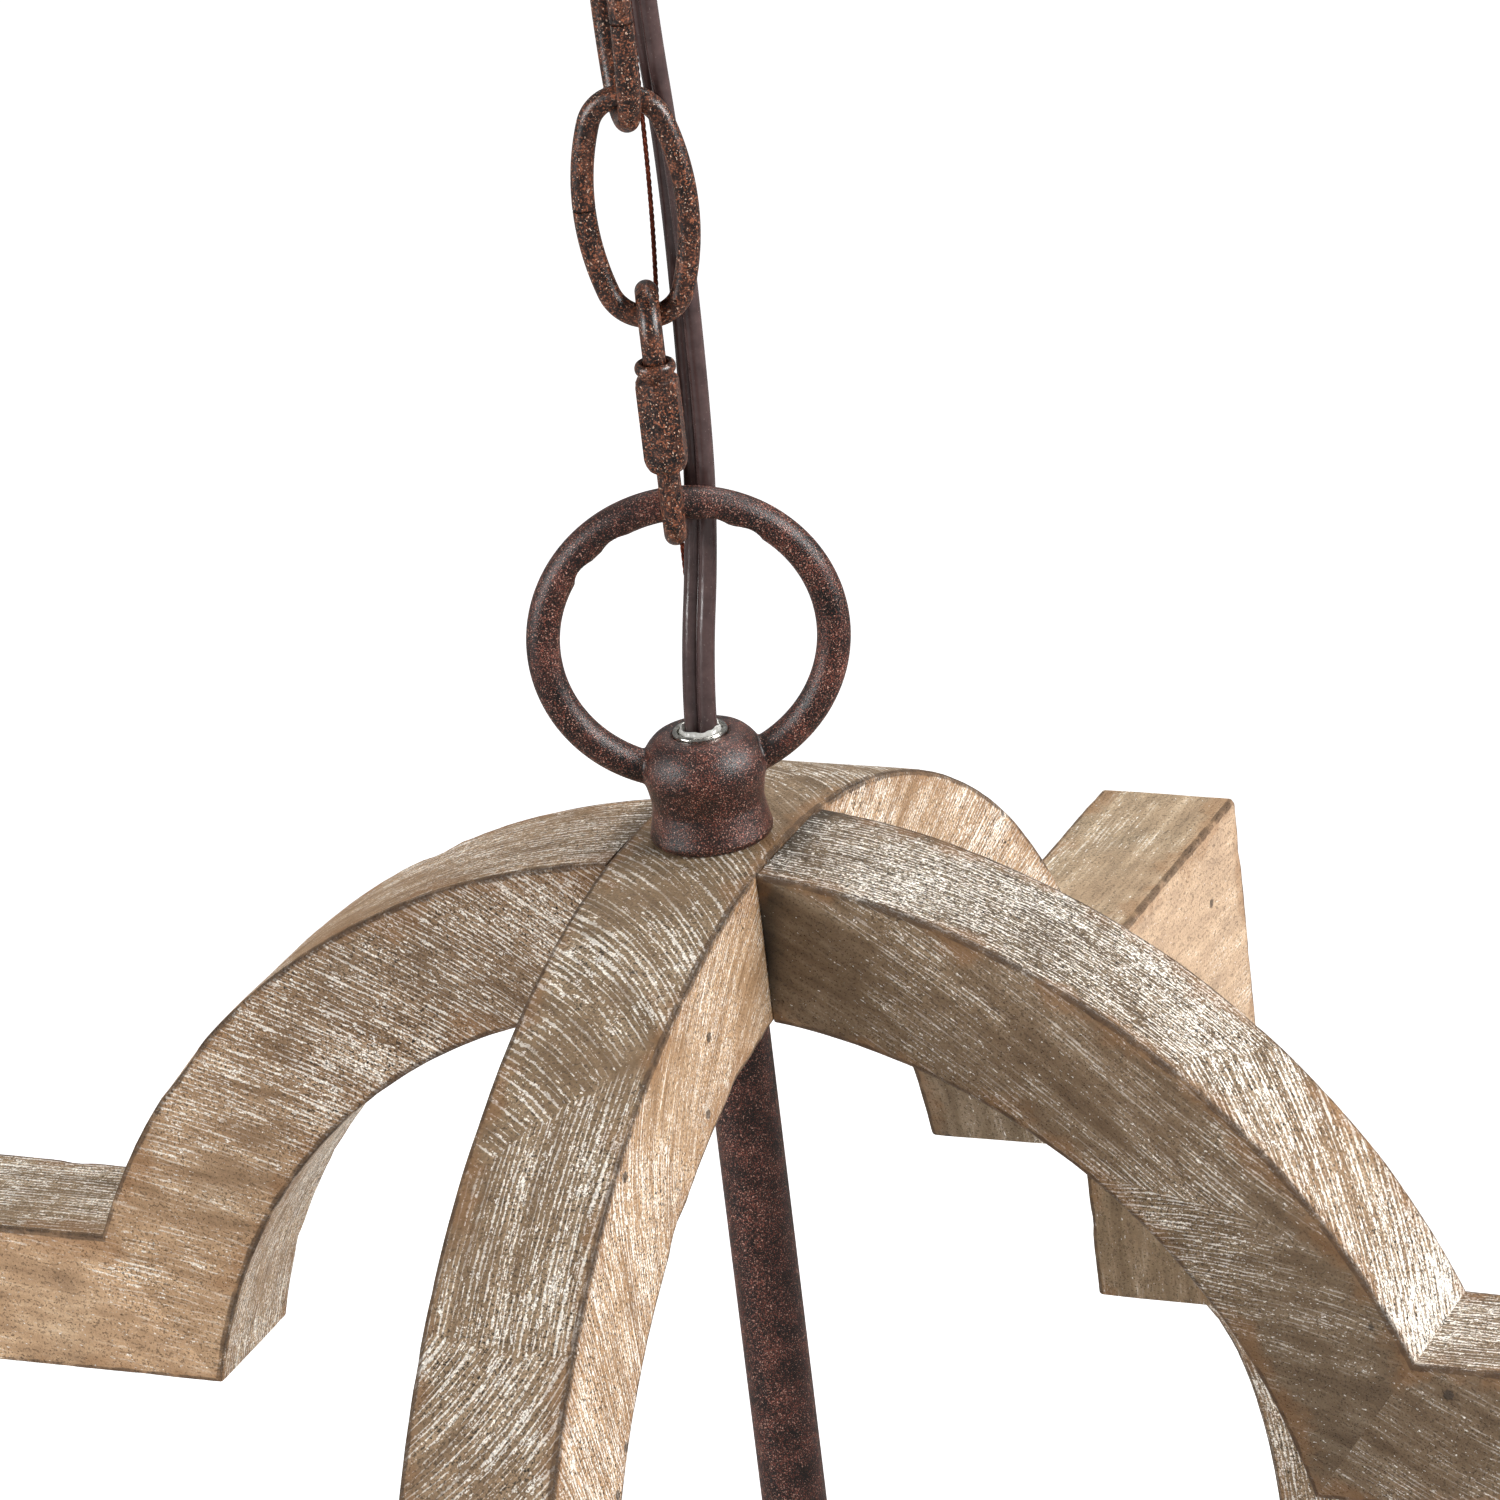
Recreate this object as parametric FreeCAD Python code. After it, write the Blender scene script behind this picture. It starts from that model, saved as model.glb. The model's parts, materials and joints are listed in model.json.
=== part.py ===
import FreeCAD, Part
import os
from math import cos, degrees, radians, sin, sqrt, tan

V = FreeCAD.Vector
ORIGIN = V(0, 0, 0)
UP = V(0, 0, 1)

# Wooden frames
frame_size = 512.0  # height and width of each frame
lobe_radius = 121.5  # outside of the round lobes
shoulder_half = 181.5  # middle to the outside of the square corners
bar_width = 25.0  # bar in the frame's plane
bar_depth = 25.0  # bar across the frame's plane
bar_edge = 0.6  # easing of the long edges
butt_gap = 0.15  # glue line between the halves and the long frame
dowel_dia = 5.0
dowel_length = 56.0
dowel_offset = 8.9  # dowel to the stem's axis
glue_gap = 0.05

# Ceiling fitting
strap_length = 108.0
strap_width = 22.0
strap_thick = 2.0
slot_spacing = 88.9
slot_length = 10.0
slot_width = 4.6
ground_screw_dia = 4.0
ground_screw_head = 8.0
ground_screw_at = 20.0
nipple_dia = 10.0
nipple_bore = 7.0
nipple_above = 6.0  # end of the nipple above the ceiling
nipple_nut_flats = 14.0
nipple_nut_height = 4.0
canopy_dia = 120.0
canopy_depth = 28.0
canopy_wall = 1.2
canopy_flat_dia = 27.0
collar_dia = 28.0
collar_height = 9.0
collar_flutes = 18
canopy_stub_dia = 16.0
canopy_boss_dia = 20.0
canopy_boss_height = 8.0
canopy_ring_dia = 30.0  # outside
canopy_ring_wire = 4.0
ring_sink = 3.0  # canopy ring let into its boss
flex_hole_dia = 8.4

# Chain
link_length = 38.5
link_width = 19.2
link_wire = 3.5
link_end_radius = 6.0  # middle of the wire at the narrow ends
link_seam = 0.35
upper_turn = 9.4  # turn of the links from the loop they hang in
lower_turn = -12.0
hang_gap = 0.2  # play where one loop hangs in another
quick_length = 42.0
quick_width = 15.0
quick_wire = 3.5
quick_mouth = 3.9
nut_length = 17.6
nut_flats = 6.2
nut_turn = -10.0
nut_collar_dia = 6.2
nut_collar_height = 2.6
nut_rise = 1.9  # middle of the nut above the middle of the link
nut_hold = 1.2  # nut on the upper end of the wire
nut_play = 0.15
nut_chamfer = 0.9

# Hanging loop of the lantern
loop_turn = 25.94  # turn of the loop from the cross frame
ring_dia = 49.5  # outside
ring_wire = 5.2
ring_rise = 32.4  # middle of the ring above the wood
scallop_radius = 3.4
scallop_depth = 0.9
scallop_turns = (-48, -28.5, 17, 34)  # worn hollows round the ring from its top
cap_foot_dia = 19.0
cap_waist_dia = 17.3
cap_bulb_dia = 19.0
cap_height = 17.3
cap_seat = 0.45  # flat cut for the cap in the crown of the frame
cap_seat_play = 0.2
cap_top_dia = 11.0
bushing_dia = 8.6
bushing_bore = 6.0
bushing_height = 4.0
bushing_proud = 0.4

# Stem and lights
stem_dia = 10.3
stem_bore = 7.0
stem_play = 0.1
washer_dia = 19.0
washer_thick = 1.2
top_nut_flats = 14.0
top_nut_height = 3.0
light_drop = 376.0  # wood top to the roots of the arms
hub_dia = 42.0
hub_height = 30.0
hub_wall = 2.2
hub_cover_depth = 10.0
hub_collar_dia = 18.0
hub_collar_height = 9.0
finial_dia = 17.0
finial_height = 27.0
arm_count = 4
arm_dia = 8.0
arm_bore = 5.4
arm_run = 14.0  # straight run outside the hub
arm_dip_radius = 30.0
arm_dip = 30.0  # degrees down
arm_rise_radius = 32.0
arm_tip = 16.0  # straight tip under the candle
arm_bead_dia = 12.0
arm_bead_height = 4.0
arm_nut_flats = 12.0
arm_nut_height = 3.0
lead_play = 0.3
connector_play = 0.3
pan_dia = 50.0
pan_rise = 6.0
pan_wall = 1.2
sleeve_dia = 24.0
sleeve_wall = 1.4
sleeve_height = 90.0
holder_dia = 19.0
holder_foot_dia = 12.0
holder_step = 26.0  # foot of the lamp holder up to its shell
holder_depth = 25.0
base_dia = 11.9
base_play = 0.15
bulb_dia = 34.0
bulb_height = 74.0
bulb_neck_dia = 10.4
glass_wall = 0.9
neck_sink = 2.9  # neck of the glass in its base
filament_post_dia = 3.0
filament_disc_dia = 9.4
filament_disc = 0.8  # thickness of the discs that hold the filaments
filament_low = 17.2
filament_high = 45.0
filament_dia = 1.5
filament_ring = 3.8  # filaments from the bulb's axis

# Flexes
flex_width = 5.4
flex_thick = 2.8
flex_turn = 40.0  # broad side from the ring's plane
ground_dia = 0.8
connector_dia = 9.0
connector_height = 15.0

half = frame_size / 2
lobe_mid = half - lobe_radius
inner_radius = lobe_radius - bar_width
inner_half = shoulder_half - bar_width
notch = sqrt(lobe_radius ** 2 - (shoulder_half - lobe_mid) ** 2)
cusp = sqrt(inner_radius ** 2 - (inner_half - lobe_mid) ** 2)

# Heights, from the ceiling down
boss_top = -canopy_depth - collar_height - 1.5
boss_low = boss_top - canopy_boss_height
canopy_ring_r = (canopy_ring_dia - canopy_ring_wire) / 2
canopy_ring_z = boss_low + ring_sink - canopy_ring_wire / 2 - canopy_ring_r
link_pitch = link_length - link_wire
upper_z = (canopy_ring_z - canopy_ring_r + (canopy_ring_wire + link_wire) / 2 + hang_gap
           - link_pitch / 2)
lower_z = upper_z - link_pitch + link_wire + hang_gap
quick_pitch = quick_length - quick_wire
quick_z = (lower_z - link_pitch / 2 + (link_wire + quick_wire) / 2 + hang_gap
           - quick_pitch / 2)
ring_r = (ring_dia - ring_wire) / 2
ring_z = quick_z - quick_pitch / 2 + (quick_wire + ring_wire) / 2 + hang_gap - ring_r
wood_z = ring_z - ring_rise
frame_z = wood_z - half
root_z = wood_z - light_drop

RIGHT = V(cos(radians(loop_turn)), sin(radians(loop_turn)), 0)
BACK = V(-sin(radians(loop_turn)), cos(radians(loop_turn)), 0)


def save(shape, name):
    shape.exportStep("parts/%s.step" % name)


def drum(dia, low, high, x=0.0, y=0.0):
    return Part.makeCylinder(dia / 2, high - low, V(x, y, low))


def pipe(dia, bore, low, high):
    return drum(dia, low, high).cut(drum(bore, low - 1, high + 1))


def edges_of(steps, point):
    """Edges through the steps: a pair is a straight line, three are an arc's middle and end."""
    now, edges = point(*steps[0]), []
    for step in steps[1:]:
        end = point(*step[-2:])
        if len(step) == 4:
            edges.append(Part.Arc(now, point(*step[:2]), end).toShape())
        else:
            edges.append(Part.LineSegment(now, end).toShape())
        now = end
    return edges


def turned(steps, base=0.0):
    """A turned solid from steps of radius and height."""
    wire = Part.Wire(edges_of(steps + [steps[0][-2:]], lambda r, z: V(r, 0, z + base)))
    return Part.Face(wire).revolve(ORIGIN, UP, 360)


def hexagon(flats, low, high):
    r = flats / sqrt(3)
    corners = [V(r * cos(radians(60 * i)), r * sin(radians(60 * i)), low) for i in range(7)]
    return Part.Face(Part.makePolygon(corners)).extrude(V(0, 0, high - low))


def hex_nut(flats, bore, low, high):
    body = hexagon(flats, low, high)
    tip = flats * 1.04
    cone = turned([(0, low), (tip / 2, low), (flats * 0.62, low + flats * 0.08),
                   (flats * 0.62, high - flats * 0.08), (tip / 2, high), (0, high)])
    return body.common(cone).cut(drum(bore, low - 1, high + 1))


def swept(path, section):
    return Part.Wire(path).makePipeShell([section], True, False)


def hung(shape):
    """A loop drawn across X, turned to the loop's real direction."""
    return shape.rotate(ORIGIN, UP, loop_turn)


# Frames of wood
def plate(edges):
    face = Part.Face(Part.Wire(edges))
    return face.extrude(V(0, bar_depth, 0))


def across(u, v):
    return V(u, -bar_depth / 2, v)


def eased(shape, kind):
    chosen = []
    for e in shape.Edges:
        a, b = e.Vertexes[0].Point, e.Vertexes[-1].Point
        on_face = abs(abs(a.y) - bar_depth / 2) < 1e-6 and abs(a.y - b.y) < 1e-6
        square = abs(a.x - b.x) < 1e-6 or abs(a.z - b.z) < 1e-6
        if on_face and e.Curve.TypeId == kind and (kind == "Part::GeomCircle" or square):
            chosen.append(e)
    return shape.makeChamfer(bar_edge, chosen)


def lobe():
    steps = [(-notch, shoulder_half), (0, half, notch, shoulder_half), (cusp, inner_half),
             (0, half - bar_width, -cusp, inner_half), (-notch, shoulder_half)]
    return eased(plate(edges_of(steps, across)), "Part::GeomCircle")


def corner():
    steps = [(notch, shoulder_half), (shoulder_half, shoulder_half), (shoulder_half, notch),
             (inner_half, cusp), (inner_half, inner_half), (cusp, inner_half),
             (notch, shoulder_half)]
    return eased(plate(edges_of(steps, across)), "Part::GeomLine")


def placed(shape, quarter, along_y):
    s = shape.copy()
    s.rotate(ORIGIN, V(0, 1, 0), 90 * quarter)
    if along_y:
        s.rotate(ORIGIN, UP, 90)
    s.translate(V(0, 0, frame_z))
    return s


def dowels(play):
    rods = []
    for z in (wood_z - bar_width / 2, wood_z - frame_size + bar_width / 2):
        for y in (-dowel_offset, dowel_offset):
            rods.append(Part.makeCylinder(dowel_dia / 2 + play, dowel_length + 2 * play,
                                          V(-dowel_length / 2 - play, y, z), V(1, 0, 0)))
    return Part.makeCompound(rods)


def wooden_frames():
    bores = dowels(glue_gap)
    stem_hole = drum(stem_dia + 0.3, wood_z - bar_width - 1, wood_z + 1).fuse(
        drum(cap_foot_dia + 2 * cap_seat_play, wood_z - cap_seat, wood_z + 1))
    arch, angle = lobe(), corner()
    for quarter, place in enumerate(("top", "rear", "bottom", "front")):
        piece = placed(arch, quarter, True).cut(bores)
        if place == "top":
            piece = piece.cut(stem_hole)
        save(piece, "long_%s_arch" % place)
    for quarter, place in enumerate(("rear_top", "rear_bottom", "front_bottom", "front_top")):
        save(placed(angle, quarter, True), "long_%s_corner" % place)
    reach = bar_depth / 2 + butt_gap
    for side, sign, corners in (("right", 1, (0, 1)), ("left", -1, (3, 2))):
        slab = Part.makeBox(half, 2 * bar_depth, 2 * frame_size,
                            V(reach if sign > 0 else -reach - half, -bar_depth,
                              frame_z - frame_size))
        for quarter, place in ((0, "top"), (2, "bottom")):
            piece = placed(arch, quarter, False).common(slab).cut(bores)
            save(piece, "%s_%s_arch" % (side, place))
        save(placed(arch, 1 if sign > 0 else 3, False), "%s_side_arch" % side)
        for quarter, place in zip(corners, ("top", "bottom")):
            save(placed(angle, quarter, False), "%s_%s_corner" % (side, place))
    save(dowels(0), "frame_dowels")


# Ceiling fitting
def slot(length, width, x):
    bar = Part.makeBox(length - width, width, 4 * strap_thick,
                       V(x - (length - width) / 2, -width / 2, -3 * strap_thick))
    for end in (-1, 1):
        bar = bar.fuse(drum(width, -3 * strap_thick, strap_thick, x + end * (length - width) / 2))
    return bar


def ceiling_fitting():
    strap = Part.makeBox(strap_length, strap_width, strap_thick,
                         V(-strap_length / 2, -strap_width / 2, -strap_thick))
    strap = strap.makeFillet(5, [e for e in strap.Edges if abs(e.tangentAt(0).z) > 0.9])
    for x in (-slot_spacing / 2, slot_spacing / 2):
        strap = strap.cut(slot(slot_length, slot_width, x))
    strap = strap.cut(drum(nipple_dia + 2 * glue_gap, -9, 9))
    strap = strap.cut(drum(ground_screw_dia + 2 * glue_gap, -9, 9, ground_screw_at))
    save(strap, "mounting_strap")

    head = ground_screw_head * 0.32
    screw = drum(ground_screw_dia, -strap_thick - 0.2, 5, ground_screw_at)
    dome = turned([(0, -head), (ground_screw_head * 0.34, -head),
                   (ground_screw_head / 2, -head * 0.4), (ground_screw_head / 2, 0), (0, 0)],
                  -strap_thick)
    dome.translate(V(ground_screw_at, 0, 0))
    cross = Part.makeBox(ground_screw_head, 1.1, 1.2,
                         V(ground_screw_at - ground_screw_head / 2, -0.55, -strap_thick - head - 0.1))
    save(screw.fuse(dome).cut(cross), "ground_screw")

    nipple_low = boss_top - canopy_boss_height * 0.25
    save(pipe(nipple_dia, nipple_bore, nipple_low, nipple_above), "canopy_nipple")
    save(hex_nut(nipple_nut_flats, nipple_dia + 2 * glue_gap,
                 -strap_thick - nipple_nut_height, -strap_thick), "nipple_nut")

    r, flat = canopy_dia / 2, canopy_flat_dia / 2
    bowl = turned([(0, 0), (r, 0), (r, -3.5), (r - 3, -5.0),
                   (r * 0.80, -canopy_depth * 0.70, r * 0.45, -canopy_depth * 0.90),
                   (flat + 1.5, -canopy_depth * 0.94), (flat, -canopy_depth), (0, -canopy_depth)])
    rim = [f for f in bowl.Faces if abs(f.CenterOfMass.z) < 1e-6]
    shell = bowl.makeThickness(rim, -canopy_wall, 1e-4)
    hole = canopy_stub_dia + 0.8
    save(shell.cut(drum(hole, -canopy_depth - 5, -canopy_depth + 9)), "canopy_dome")

    top, low = -canopy_depth, -canopy_depth - collar_height
    r = collar_dia / 2
    ring = turned([(canopy_stub_dia / 2 + glue_gap, top), (r - 1.5, top), (r, top - 1.5),
                   (r, low + 2.5), (r - 2.5, low), (canopy_stub_dia / 2 + glue_gap, low)])
    flute = Part.makeCompound([drum(2.0, low - 1, top + 1, (r + 0.35) * cos(radians(a)),
                                    (r + 0.35) * sin(radians(a)))
                               for a in [360.0 / collar_flutes * i for i in range(collar_flutes)]])
    save(ring.cut(flute), "canopy_collar")

    stub, boss = canopy_stub_dia / 2, canopy_boss_dia / 2
    body = turned([(0, 2.0 - canopy_depth), (stub, 2.0 - canopy_depth), (stub, boss_top),
                   (boss, boss_top), (boss, boss_top - 2.5),
                   (boss - 0.8, boss_low + 2.0, boss - 3.6, boss_low), (0, boss_low)])
    loop = Part.makeTorus(canopy_ring_r, canopy_ring_wire / 2, V(0, 0, canopy_ring_z), V(0, 1, 0))
    body = body.fuse(loop)
    body = body.cut(drum(nipple_dia + 2 * glue_gap, nipple_low - 0.2, 5))
    body = body.cut(drum(flex_hole_dia, boss_low - 5, 5))
    save(hung(body), "canopy_loop")


# Chain
def chain_link(z):
    """An oval of four arcs, upright across X, with its seam on one long side."""
    a, b, r = link_pitch / 2, (link_width - link_wire) / 2, link_end_radius
    side = (b * b + (a - r) ** 2 - r * r) / (2 * (b - r))
    reach = side - r
    mx, mz = r * (side - b) / reach, a - r + r * (a - r) / reach
    steps = [(b, 0), (b - side + side * cos(0.25), side * sin(0.25), mx, mz),
             (0, a, -mx, mz), (-b, 0, -mx, -mz), (0, -a, mx, -mz),
             (b - side + side * cos(0.25), -side * sin(0.25), b, 0)]
    wire = edges_of(steps, lambda x, y: V(x, 0, y + z))
    ring = swept(wire, Part.Wire(Part.makeCircle(link_wire / 2, V(b, 0, z), UP)))
    seam = Part.makeBox(2 * link_wire, 2 * link_wire, link_seam,
                        V(-b - link_wire, -link_wire, z - link_seam / 2))
    return ring.cut(seam)


def chain():
    save(hung(chain_link(upper_z).rotate(ORIGIN, UP, 90 + upper_turn)), "upper_link")
    save(hung(chain_link(lower_z).rotate(ORIGIN, UP, lower_turn)), "lower_link")

    r = (quick_width - quick_wire) / 2
    top, low = quick_z + quick_pitch / 2 - r, quick_z - quick_pitch / 2 + r
    nut_low = quick_z + nut_rise - nut_length / 2
    mouth_top = nut_low + nut_length - nut_hold
    steps = [(-r, mouth_top), (-r, top), (0, top + r, r, top), (r, low),
             (0, low - r, -r, low), (-r, mouth_top - quick_mouth)]
    path = edges_of(steps, lambda y, z: V(0, y, z))
    hook = swept(path, Part.Wire(Part.makeCircle(quick_wire / 2, V(0, -r, mouth_top), UP)))
    save(hung(hook), "quick_link")

    high = nut_low + nut_length
    shoulder = high - nut_collar_height
    collar = nut_collar_dia / 2
    sleeve = hexagon(nut_flats, nut_low, shoulder)
    sleeve = sleeve.rotate(ORIGIN, UP, nut_turn)
    bevel = turned([(0, nut_low), (nut_flats / 2 - nut_chamfer * 0.6, nut_low),
                    (nut_flats, nut_low + nut_chamfer * 2.2), (nut_flats, shoulder), (0, shoulder)])
    sleeve = sleeve.common(bevel)
    cuff = turned([(0, shoulder - 0.1), (collar, shoulder - 0.1), (collar, high - 0.6),
                   (collar - 0.6, high), (0, high)])
    nut = sleeve.fuse(cuff).cut(drum(quick_wire + 2 * nut_play, nut_low - 1, high + 1))
    nut.translate(V(0, -r, 0))
    save(hung(nut), "quick_link_nut")


# Flexes
def route(points):
    """Straight runs joined by tangent arcs, each as large as its two runs allow."""
    edges, radii = [], []
    now = points[0]
    for i in range(1, len(points) - 1):
        back, ahead = points[i - 1] - points[i], points[i + 1] - points[i]
        cut = 0.45 * min(back.Length, ahead.Length)
        turn = radians(180 - degrees(back.getAngle(ahead)))
        back.normalize()
        ahead.normalize()
        a, b = points[i] + back * cut, points[i] + ahead * cut
        r = cut / tan(turn / 2)
        into = back + ahead
        into.normalize()
        mid = points[i] + into * (r / cos(turn / 2) - r)
        edges.append(Part.LineSegment(now, a).toShape())
        edges.append(Part.Arc(a, mid, b).toShape())
        radii.append(r)
        now = b
    edges.append(Part.LineSegment(now, points[-1]).toShape())
    return edges, radii


def beside(r, b, z):
    """A place by its distance right of the ring's middle, behind it and above the wood."""
    return RIGHT * r + BACK * b + V(0, 0, wood_z + z)


def flat_section(place):
    turn = radians(flex_turn)
    wide = RIGHT * cos(turn) - BACK * sin(turn)
    thin = RIGHT * sin(turn) + BACK * cos(turn)
    run, r = (flex_width - flex_thick) / 2, flex_thick / 2
    a, b = place + wide * run + thin * r, place + wide * run - thin * r
    c, d = place - wide * run - thin * r, place - wide * run + thin * r
    return Part.Wire([Part.Arc(a, place + wide * (run + r), b).toShape(),
                      Part.LineSegment(b, c).toShape(),
                      Part.Arc(c, place - wide * (run + r), d).toShape(),
                      Part.LineSegment(d, a).toShape()])


def report(name, solid, area, edges, radii):
    length = sum(e.Length for e in edges)
    print("%s: length %.1f, volume %.1f of %.1f, arcs %s"
          % (name, length, solid.Volume, area * length, ", ".join("%.1f" % r for r in radii)))


def flexes():
    flex_low, flex_top = 9.0, -wood_z - 6.0
    entry = boss_low - wood_z
    turn = radians(flex_turn)
    wide = RIGHT * cos(turn) - BACK * sin(turn)
    off = (RIGHT * sin(turn) + BACK * cos(turn)) * (flex_thick / 2 + ground_dia / 2 + 0.2)
    low_side, top_side = off - wide * 0.8, off * -1 - wide * 0.8
    points = [beside(0, 0, flex_low), beside(0, 0, 22.5), beside(4.3, 6.0, 49.0),
              beside(5.5, 6.2, 74.0), beside(5.9, 5.4, 106.0), beside(4.6, 5.2, 133.0),
              beside(4.9, 5.0, 152.0), beside(0, 0, entry + 2.0), beside(0, 0, flex_top)]
    edges, radii = route(points)
    cord = swept(edges, flat_section(points[0]))
    area = (flex_width - flex_thick) * flex_thick + 3.14159 * flex_thick ** 2 / 4
    report("power_cord", cord, area, edges, radii)
    save(cord, "power_cord")

    points = [beside(0, 0, flex_low) + low_side, beside(0, 0, 20.0) + low_side,
              beside(0.7, 9.4, 46.0), beside(1.0, 9.2, 78.0), beside(2.4, 4.8, 100.0),
              beside(2.7, 4.0, 121.0), beside(2.8, 3.3, 149.0),
              beside(0, 0, entry + 3.0) + top_side, beside(0, 0, flex_top) + top_side]
    edges, radii = route(points)
    wire = swept(edges, Part.Wire(Part.makeCircle(ground_dia / 2, points[0], UP)))
    report("ground_wire", wire, 3.14159 * ground_dia ** 2 / 4, edges, radii)
    save(wire, "ground_wire")

    drop = V(0, 0, root_z - wood_z - flex_low)
    inner = Part.Face(flat_section(beside(0, 0, flex_low))).extrude(drop)
    bare = Part.makeCylinder(ground_dia / 2, -drop.z, beside(0, 0, flex_low) + low_side,
                             V(0, 0, -1))
    return [inner, bare]


# Hanging loop, stem and their fastening
def lantern_top():
    foot, waist = cap_foot_dia / 2, cap_waist_dia / 2
    bulge, top = cap_bulb_dia / 2, cap_height
    cap_z = wood_z - cap_seat + glue_gap
    cap = turned([(0, 0), (foot - 1.1, 0), (foot - 0.3, 0.35, foot, 1.3),
                  (waist + 0.35, top * 0.21, waist, top * 0.34),
                  (waist + 0.3, top * 0.47, bulge - 0.1, top * 0.58),
                  (bulge - 0.05, top * 0.78, bulge - 1.7, top * 0.94),
                  (bulge - 2.7, top * 0.985, cap_top_dia / 2, top), (0, top)], cap_z)
    ring = Part.makeTorus(ring_r, ring_wire / 2, V(0, 0, ring_z), V(0, 1, 0))
    scallops = []
    for a in scallop_turns:
        reach = ring_r - ring_wire / 2 + scallop_depth - scallop_radius
        place = V(reach * sin(radians(a)), -ring_wire, ring_z + reach * cos(radians(a)))
        scallops.append(Part.makeCylinder(scallop_radius, 2 * ring_wire, place, V(0, 1, 0)))
    loop = cap.fuse(ring.cut(Part.makeCompound(scallops)))
    seat = cap_z + cap_height + bushing_proud - bushing_height
    loop = loop.cut(drum(stem_dia + 2 * glue_gap, wood_z - 1, seat))
    loop = loop.cut(drum(bushing_dia + 2 * glue_gap, wood_z, cap_z + cap_height + 3))
    save(hung(loop), "hanging_loop")

    lip = seat + bushing_height
    bush = turned([(bushing_bore / 2, seat), (bushing_dia / 2, seat), (bushing_dia / 2, lip - 0.3),
                   (bushing_dia / 2 - 0.3, lip), (bushing_bore / 2 + 0.4, lip),
                   (bushing_bore / 2, lip - 0.4)])
    save(bush, "cord_bushing")

    low = root_z - hub_height / 2 - hub_cover_depth - 9.0
    stem = pipe(stem_dia, stem_bore, low, seat)
    exit_hole = Part.makeCylinder(stem_bore / 2 - 0.4, stem_dia + 2,
                                  V(0, -stem_dia / 2 - 1, root_z), V(0, 1, 0))
    save(stem.cut(exit_hole), "stem")

    r = washer_dia / 2
    high = wood_z - bar_width - (inner_radius - sqrt(inner_radius ** 2 - r * r)) - 0.02
    save(pipe(washer_dia, stem_dia + 2 * stem_play, high - washer_thick, high), "top_washer")
    save(hex_nut(top_nut_flats, stem_dia + 2 * glue_gap, high - washer_thick - top_nut_height,
                 high - washer_thick), "top_nut")


# Lights
arm_nut_seat = sqrt((hub_dia / 2 - hub_wall) ** 2 - arm_nut_flats ** 2 / 3) - 0.1
arm_root = arm_nut_seat - arm_nut_height
arm_turn_x = hub_dia / 2 + arm_run
dip_x = arm_turn_x + arm_dip_radius * sin(radians(arm_dip))
dip_z = -arm_dip_radius * (1 - cos(radians(arm_dip)))
rise_x = dip_x + arm_rise_radius * sin(radians(arm_dip))
rise_z = dip_z + arm_rise_radius * cos(radians(arm_dip))
arm_reach = rise_x + arm_rise_radius
bead_z = root_z + rise_z
pan_z = bead_z + arm_bead_height
tip_z = bead_z + arm_tip
floor_z = pan_z + pan_wall
sleeve_top = floor_z + sleeve_height
holder_top = sleeve_top - 1.0


def arm_path():
    a, b = radians(arm_dip), radians((90 - arm_dip) / 2)
    steps = [(arm_root, 0), (arm_turn_x, 0),
             (arm_turn_x + arm_dip_radius * sin(a / 2), arm_dip_radius * (cos(a / 2) - 1),
              dip_x, dip_z),
             (rise_x + arm_rise_radius * sin(b), rise_z - arm_rise_radius * cos(b),
              arm_reach, rise_z),
             (arm_reach, rise_z + arm_tip)]
    return edges_of(steps, lambda x, z: V(x, 0, z + root_z))


def swung(shape, i):
    s = shape.copy()
    s.rotate(ORIGIN, UP, 45 + 360.0 / arm_count * i)
    return s


def on_arm(shape, i):
    s = shape.copy()
    s.translate(V(arm_reach, 0, 0))
    return swung(s, i)


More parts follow.
